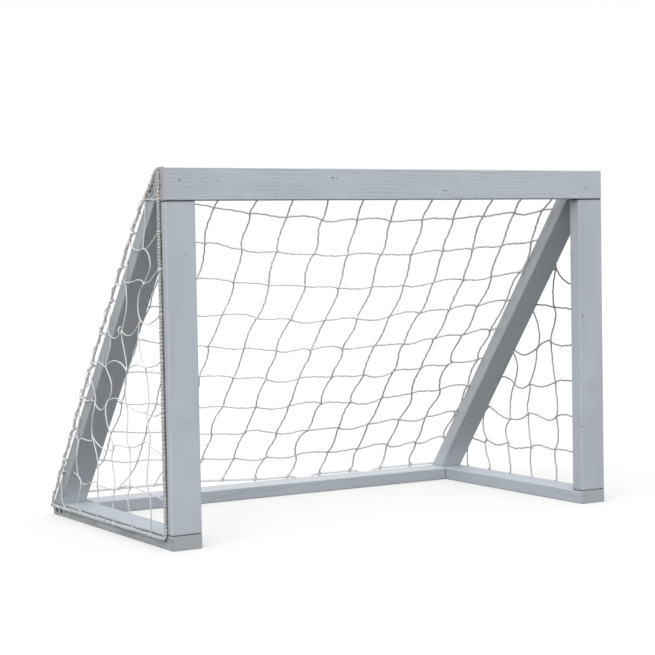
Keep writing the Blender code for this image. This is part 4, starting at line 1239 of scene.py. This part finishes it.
    def ends(self):
        """Bare end grain with flecks of dirt at a free end, and a dark soiled joint at a seam."""
        is_post = self.timber.startswith("post")
        seam_width = SEAM_WIDTHS[is_post]
        raggedness = self.ragged(self.grain(END_RAGGEDNESS), END_RAGGEDNESS.amount)
        for end in (-1, 1):
            to_end = self.half[0] - self.u * end
            if self.board.ends == "free":
                bare = self.fade(to_end + raggedness, *BARE_END)
                self.stain(CROSSBAR_END if self.timber == "crossbar" else END_GRAIN, bare)
                self.stain(DIRT, self.fade(to_end, *FLECKED_END) * self.pattern(END_FLECKS, FLECK_STRENGTH))
                continue
            if is_post and end < 0:
                self.stain(RUST, self.fade(to_end, *RUSTY_END) * self.pattern(RUST_SPOTS))
            uneven = to_end + self.ragged(self.speckle, SPECKLE.amount)
            self.stain(SEAM_AND_BORE_SHADE, self.fade(uneven, SEAM_CORE * seam_width, seam_width, SEAM_STRENGTH))
            self.stain(DIRT, self.fade(to_end, *DIRTY_END) * self.warp(END_DIRT))

    def marks(self):
        for x, z, radius, depth in MARKS.get(self.timber, ()):
            away = self.vector("SUBTRACT", self.coordinates(), at(x, 0, z))
            lengthwise = self.measure(self.board.along, away) * MARK_LENGTH_SHARE
            aside = self.measure(self.board.across, away)
            inward = self.measure(self.through, away)
            reach = self.vector("LENGTH", self.add("CombineXYZ", {0: lengthwise, 1: aside, 2: inward}))
            reach = reach + self.ragged(self.speckle, MARK_RAGGEDNESS * radius)
            spot = self.fade(reach, MARK_CORE * radius, radius)
            self.stain(KNOT_STAIN, spot * depth)
            self.height = self.height - spot * MARK_DENT

    def swirls(self):
        for x, z, radius in SWIRLS.get(self.timber, ()):
            away = self.vector("DISTANCE", self.coordinates(), at(x, 0, z))
            waves = self.lines(self.u * (math.tau / SWIRL_PITCH) + self.warp(SWIRL_WARP), *SWIRL_RINGS)
            self.stain(PAINT_SHADE, self.fade(away, SWIRL_CORE * radius, radius) * waves)

    def soiled_outer_face(self):
        """Dirt on a side bar's outer face, the cord's shadow above and below it, and painted shade in two
        bores.
        """
        outer = self.math("ABSOLUTE", self.measure(X_AXIS))
        soil = self.rise(outer, *moved(SOILED_SKIN, HALF_WIDTH), SOIL_STRENGTH)
        soil = soil * self.pattern(SOIL_STREAKS, least=SOIL_LEAST)
        self.stain(BASE_SOIL, soil)
        self.stain(DIRT, soil * self.pattern(SOIL_SPECKS, SOIL_STRENGTH))
        to_cord = self.math("ABSOLUTE", self.measure(Z_AXIS) - BASE_ROPE_Z)
        groove = self.rise(to_cord, *CORD_GROOVE_INNER) * self.fade(to_cord, *CORD_GROOVE_OUTER)
        groove = groove * self.rise(outer, *moved(GROOVE_SKIN, HALF_WIDTH))
        start = FRONT_Y + POST_ROPE_BACK
        groove = groove * self.rise(self.measure(Y_AXIS), start - CORD_START, start)
        self.stain(CORD_SHADOW, groove)
        label = self.timber.removeprefix("side_bar_")
        # Painted shade: the two bores are painted near black inside, for the shade in them
        for number in (1, 2):
            low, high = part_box(f"rear_bar_screw_{label}_{number}")
            away = self.vector("SUBTRACT", self.coordinates(), (low + high) / 2)
            away = self.vector("LENGTH", self.vector("MULTIPLY", away, (0, 1, 1)))
            self.stain(SEAM_AND_BORE_SHADE, self.fade(away, *SCREW_BORE))


def moved(band, distance):
    return [edge + distance for edge in band]


FACES = {
    "crossbar": Paint.crossbar_highlight_and_shade,
    "post_left": Paint.post_left_shadow,
    "rear_bar": Paint.rear_bar_top_highlight,
    "brace": Paint.brace_light_and_shade,
}


def painted_wood(timber):
    paint = Paint(timber)
    paint.tones_and_grain()
    paint.worn_arrises()
    for start, lay_on in FACES.items():
        if timber.startswith(start):
            lay_on(paint)
    paint.ends()
    paint.marks()
    paint.swirls()
    if timber.startswith("side_bar"):
        paint.soiled_outer_face()
    paint.surface("Base Color", paint.colour)
    paint.surface("Roughness", paint.span(paint.brush, *NOISE_BULK, *PAINT_ROUGHNESS))
    paint.bump(paint.height, PAINT_BUMP, PAINT_RELIEF)
    return paint.owner


def middle_and_half(timber):
    """A timber's middle and half its length, width and thickness, a brace's along its own slope."""
    low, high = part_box(timber)
    size = high - low
    centre = (low + high) / 2
    if timber.startswith("brace"):
        face = at(centre.x, (POST_DEPTH + BRACE_FOOT_BACK) / 2, (BRACE_HEAD_Z + BASE_THICKNESS) / 2)
        return face + BRACE_OUT * BRACE_THICKNESS / 2, (size.length / 2, size.x / 2, BRACE_THICKNESS / 2)
    along, across = BOARDS[timber][:2]
    return centre, [abs(size.dot(way)) / 2 for way in (along, across, along.cross(across))]


def zinc():
    nodes = Nodes(bpy.data.materials.new("zinc_plated_steel"))
    grain = nodes.noise(nodes.vector("MULTIPLY", nodes.coordinates(), (ZINC_FINENESS,) * 3))
    nodes.surface("Base Color", nodes.tint(grain, ZINC_DARK, ZINC_LIGHT))
    nodes.surface("Metallic", 1.0)
    nodes.surface("Roughness", nodes.span(grain, *NOISE_BULK, *ZINC_ROUGHNESS))
    nodes.bump(grain, ZINC_BUMP, ZINC_RELIEF)
    return nodes.owner


def fibre_material(name, colours, spin, soil=None, foot=None, shaded_and_toned=False):
    """Spun synthetic fibre, speckled between its two colours, with a soft sheen.

    soil is the colour that it takes towards the low right. foot is its colour near the ground, with the
    heights between which that fades. Toned cord is paler on the slope, and painted along the base.
    """
    light, dark = colours
    fineness, roughness, relief = spin
    nodes = Nodes(bpy.data.materials.new(name))
    point = nodes.coordinates()
    fine = nodes.noise(nodes.vector("MULTIPLY", point, (fineness,) * 3), *FIBRE_NOISE)
    broad = nodes.noise(nodes.vector("MULTIPLY", point, (PATCH_FINENESS,) * 3), PATCH_DETAIL)
    colour = nodes.tint(nodes.rise(fine, *FIBRE_SPECKLE), dark, light)
    colour = nodes.tint(nodes.rise(broad, *FIBRE_DARK_PATCHES), colour, dark)
    if soil:
        place = nodes.measure(LOW_RIGHT, point)
        colour = nodes.tint(nodes.rise(place, *SOILED_NET), colour, soil)
    if foot:
        foot_colour, heights = foot
        low = nodes.fade(nodes.measure(Z_AXIS, point), *heights, FOOT_STRENGTH)
        colour = nodes.tint(low, colour, foot_colour)
    if shaded_and_toned:
        behind = nodes.rise(nodes.measure(Y_AXIS, point), *moved(PALER_BACK, FRONT_Y), PALER_STRENGTH)
        colour = nodes.tint(behind, colour, PALER_CORD)
        base = nodes.fade(nodes.measure(Z_AXIS, point), *moved(PAINTED_RISE, BASE_ROPE_Z), PAINTED_STRENGTH)
        colour = nodes.tint(base, colour, PAINTED_CORD)
    nodes.surface("Base Color", colour)
    nodes.surface("Roughness", nodes.span(fine, *NOISE_BULK, *roughness))
    nodes.surface("Sheen Weight", FIBRE_SHEEN)
    nodes.bump(fine, FIBRE_BUMP, relief)
    return nodes.owner


def dress_timbers():
    """Gives each timber its paint, with the grain along its length, and the steel its zinc."""
    steel = zinc()
    for name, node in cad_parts.items():
        if name in BOARDS:
            dress(node, painted_wood(name))
        elif "screw" in name or "staple" in name:
            dress(node, steel)


def dress(node, material):
    node.data.materials.clear()
    node.data.materials.append(material)


# Stage, light and camera

CAMERA_PLACE = Vector((-2.8281, -4.2999 + FRONT_Y, 0.8290))
CAMERA_YAW = 0.5400
CAMERA_PITCH = -0.0483
CAMERA_ROLL = -0.0181
CAMERA_FOCAL_PIXELS = 1774.2
IMAGE_WIDTH = 655
SENSOR_MM = 36.0


def make_camera():
    forward = Vector((math.sin(CAMERA_YAW) * math.cos(CAMERA_PITCH),
                      math.cos(CAMERA_YAW) * math.cos(CAMERA_PITCH), math.sin(CAMERA_PITCH)))
    right = Vector((math.cos(CAMERA_YAW), -math.sin(CAMERA_YAW), 0))
    up = right.cross(forward)
    rolled_right = right * math.cos(CAMERA_ROLL) + up * math.sin(CAMERA_ROLL)
    rolled_up = up * math.cos(CAMERA_ROLL) - right * math.sin(CAMERA_ROLL)
    turn = Matrix((rolled_right, rolled_up, -forward)).transposed()
    lens = bpy.data.cameras.new("camera")
    lens.sensor_fit = "HORIZONTAL"
    lens.sensor_width = SENSOR_MM
    lens.lens = CAMERA_FOCAL_PIXELS * SENSOR_MM / IMAGE_WIDTH
    camera = new_object("camera", lens)
    camera.matrix_world = Matrix.Translation(CAMERA_PLACE) @ turn.to_4x4()
    bpy.context.scene.camera = camera


def seen_directly(nodes):
    """A factor that is 1 for camera, glossy and transmission rays."""
    total = nodes.add("LightPath", {}, "Is Camera Ray")
    for name in ("Is Glossy Ray", "Is Transmission Ray"):
        seen = nodes.add("LightPath", {}, name)
        total = nodes.add("Math", {0: total, 1: seen}, operation="ADD", use_clamp=True)
    return total


WHITE = (1.0, 1.0, 1.0)
WORLD_LIGHT = 1.05
WORLD_SHOWN = 1.0
SUN_LIGHT = 1.80
SUN_SPREAD = math.radians(55)
SUN_FROM = Vector((-0.95, -1.0, 1.1))
FLOOR_SHOWN = (0.46, 0.46, 0.46)
FLOOR_BOUNCE = (0.095, 0.092, 0.084)
FLOOR_GLOW = 0.40
FLOOR_ROUGHNESS = 0.9
FLOOR_SIZE = 60.0


def make_world():
    """White to the camera, and a plain light to everything else."""
    world = bpy.data.worlds.new("studio")
    bpy.context.scene.world = world
    nodes = Nodes(world)
    nodes.tree.nodes.clear()
    light = nodes.add("Background", {"Color": WHITE, "Strength": WORLD_LIGHT})
    shown = nodes.add("Background", {"Color": WHITE, "Strength": WORLD_SHOWN})
    mix = nodes.add("MixShader", {0: seen_directly(nodes), 1: light, 2: shown})
    output = nodes.tree.nodes.new("ShaderNodeOutputWorld")
    nodes.feed(output.inputs["Surface"], mix)


def make_floor():
    mesh = bpy.data.meshes.new("floor")
    edge = FLOOR_SIZE / 2
    corners = [(-edge, -edge, 0), (edge, -edge, 0), (edge, edge, 0), (-edge, edge, 0)]
    mesh.from_pydata(corners, [], [(0, 1, 2, 3)])
    floor = new_object("floor", mesh)
    nodes = Nodes(bpy.data.materials.new("floor_paper"))
    shown = seen_directly(nodes)
    nodes.surface("Base Color", nodes.tint(shown, FLOOR_BOUNCE, FLOOR_SHOWN))
    nodes.surface("Roughness", FLOOR_ROUGHNESS)
    nodes.surface("Specular IOR Level", 0.0)
    nodes.surface("Emission Color", WHITE)
    nodes.surface("Emission Strength", shown * FLOOR_GLOW)
    mesh.materials.append(nodes.owner)


def make_sun():
    data = bpy.data.lights.new("soft_sun", "SUN")
    data.energy = SUN_LIGHT
    data.angle = SUN_SPREAD
    sun = new_object("soft_sun", data)
    sun.rotation_euler = SUN_FROM.to_track_quat("Z", "Y").to_euler()


def main():
    bpy.context.scene.view_settings.view_transform = "Standard"
    make_camera()
    make_world()
    make_floor()
    make_sun()
    dress_timbers()
    cord = fibre_material("laid_cord", CORD_COLOURS, CORD_SPIN, shaded_and_toned=True)
    lace = fibre_material("lacing", LACE_COLOURS, LACE_SPIN, shaded_and_toned=True)
    pale_cord = fibre_material("pale_cord", PALE_CORD_COLOURS, CORD_SPIN)
    back_twine = fibre_material("back_twine", BACK_COLOURS, TWINE_SPIN, soil=BACK_SOIL)
    left_twine = fibre_material("left_twine", LEFT_COLOURS, TWINE_SPIN, foot=LEFT_FOOT)
    right_twine = fibre_material("right_twine", RIGHT_COLOURS, TWINE_SPIN, foot=RIGHT_FOOT)
    make_ropes(cord, pale_cord, lace)
    make_back_net(back_twine)
    make_side_net("left", -1, LEFT_TWINE, LEFT_SLACK, LEFT_SEED, left_twine)
    make_side_net("right", 1, RIGHT_TWINE, RIGHT_SLACK, RIGHT_SEED, right_twine)


main()
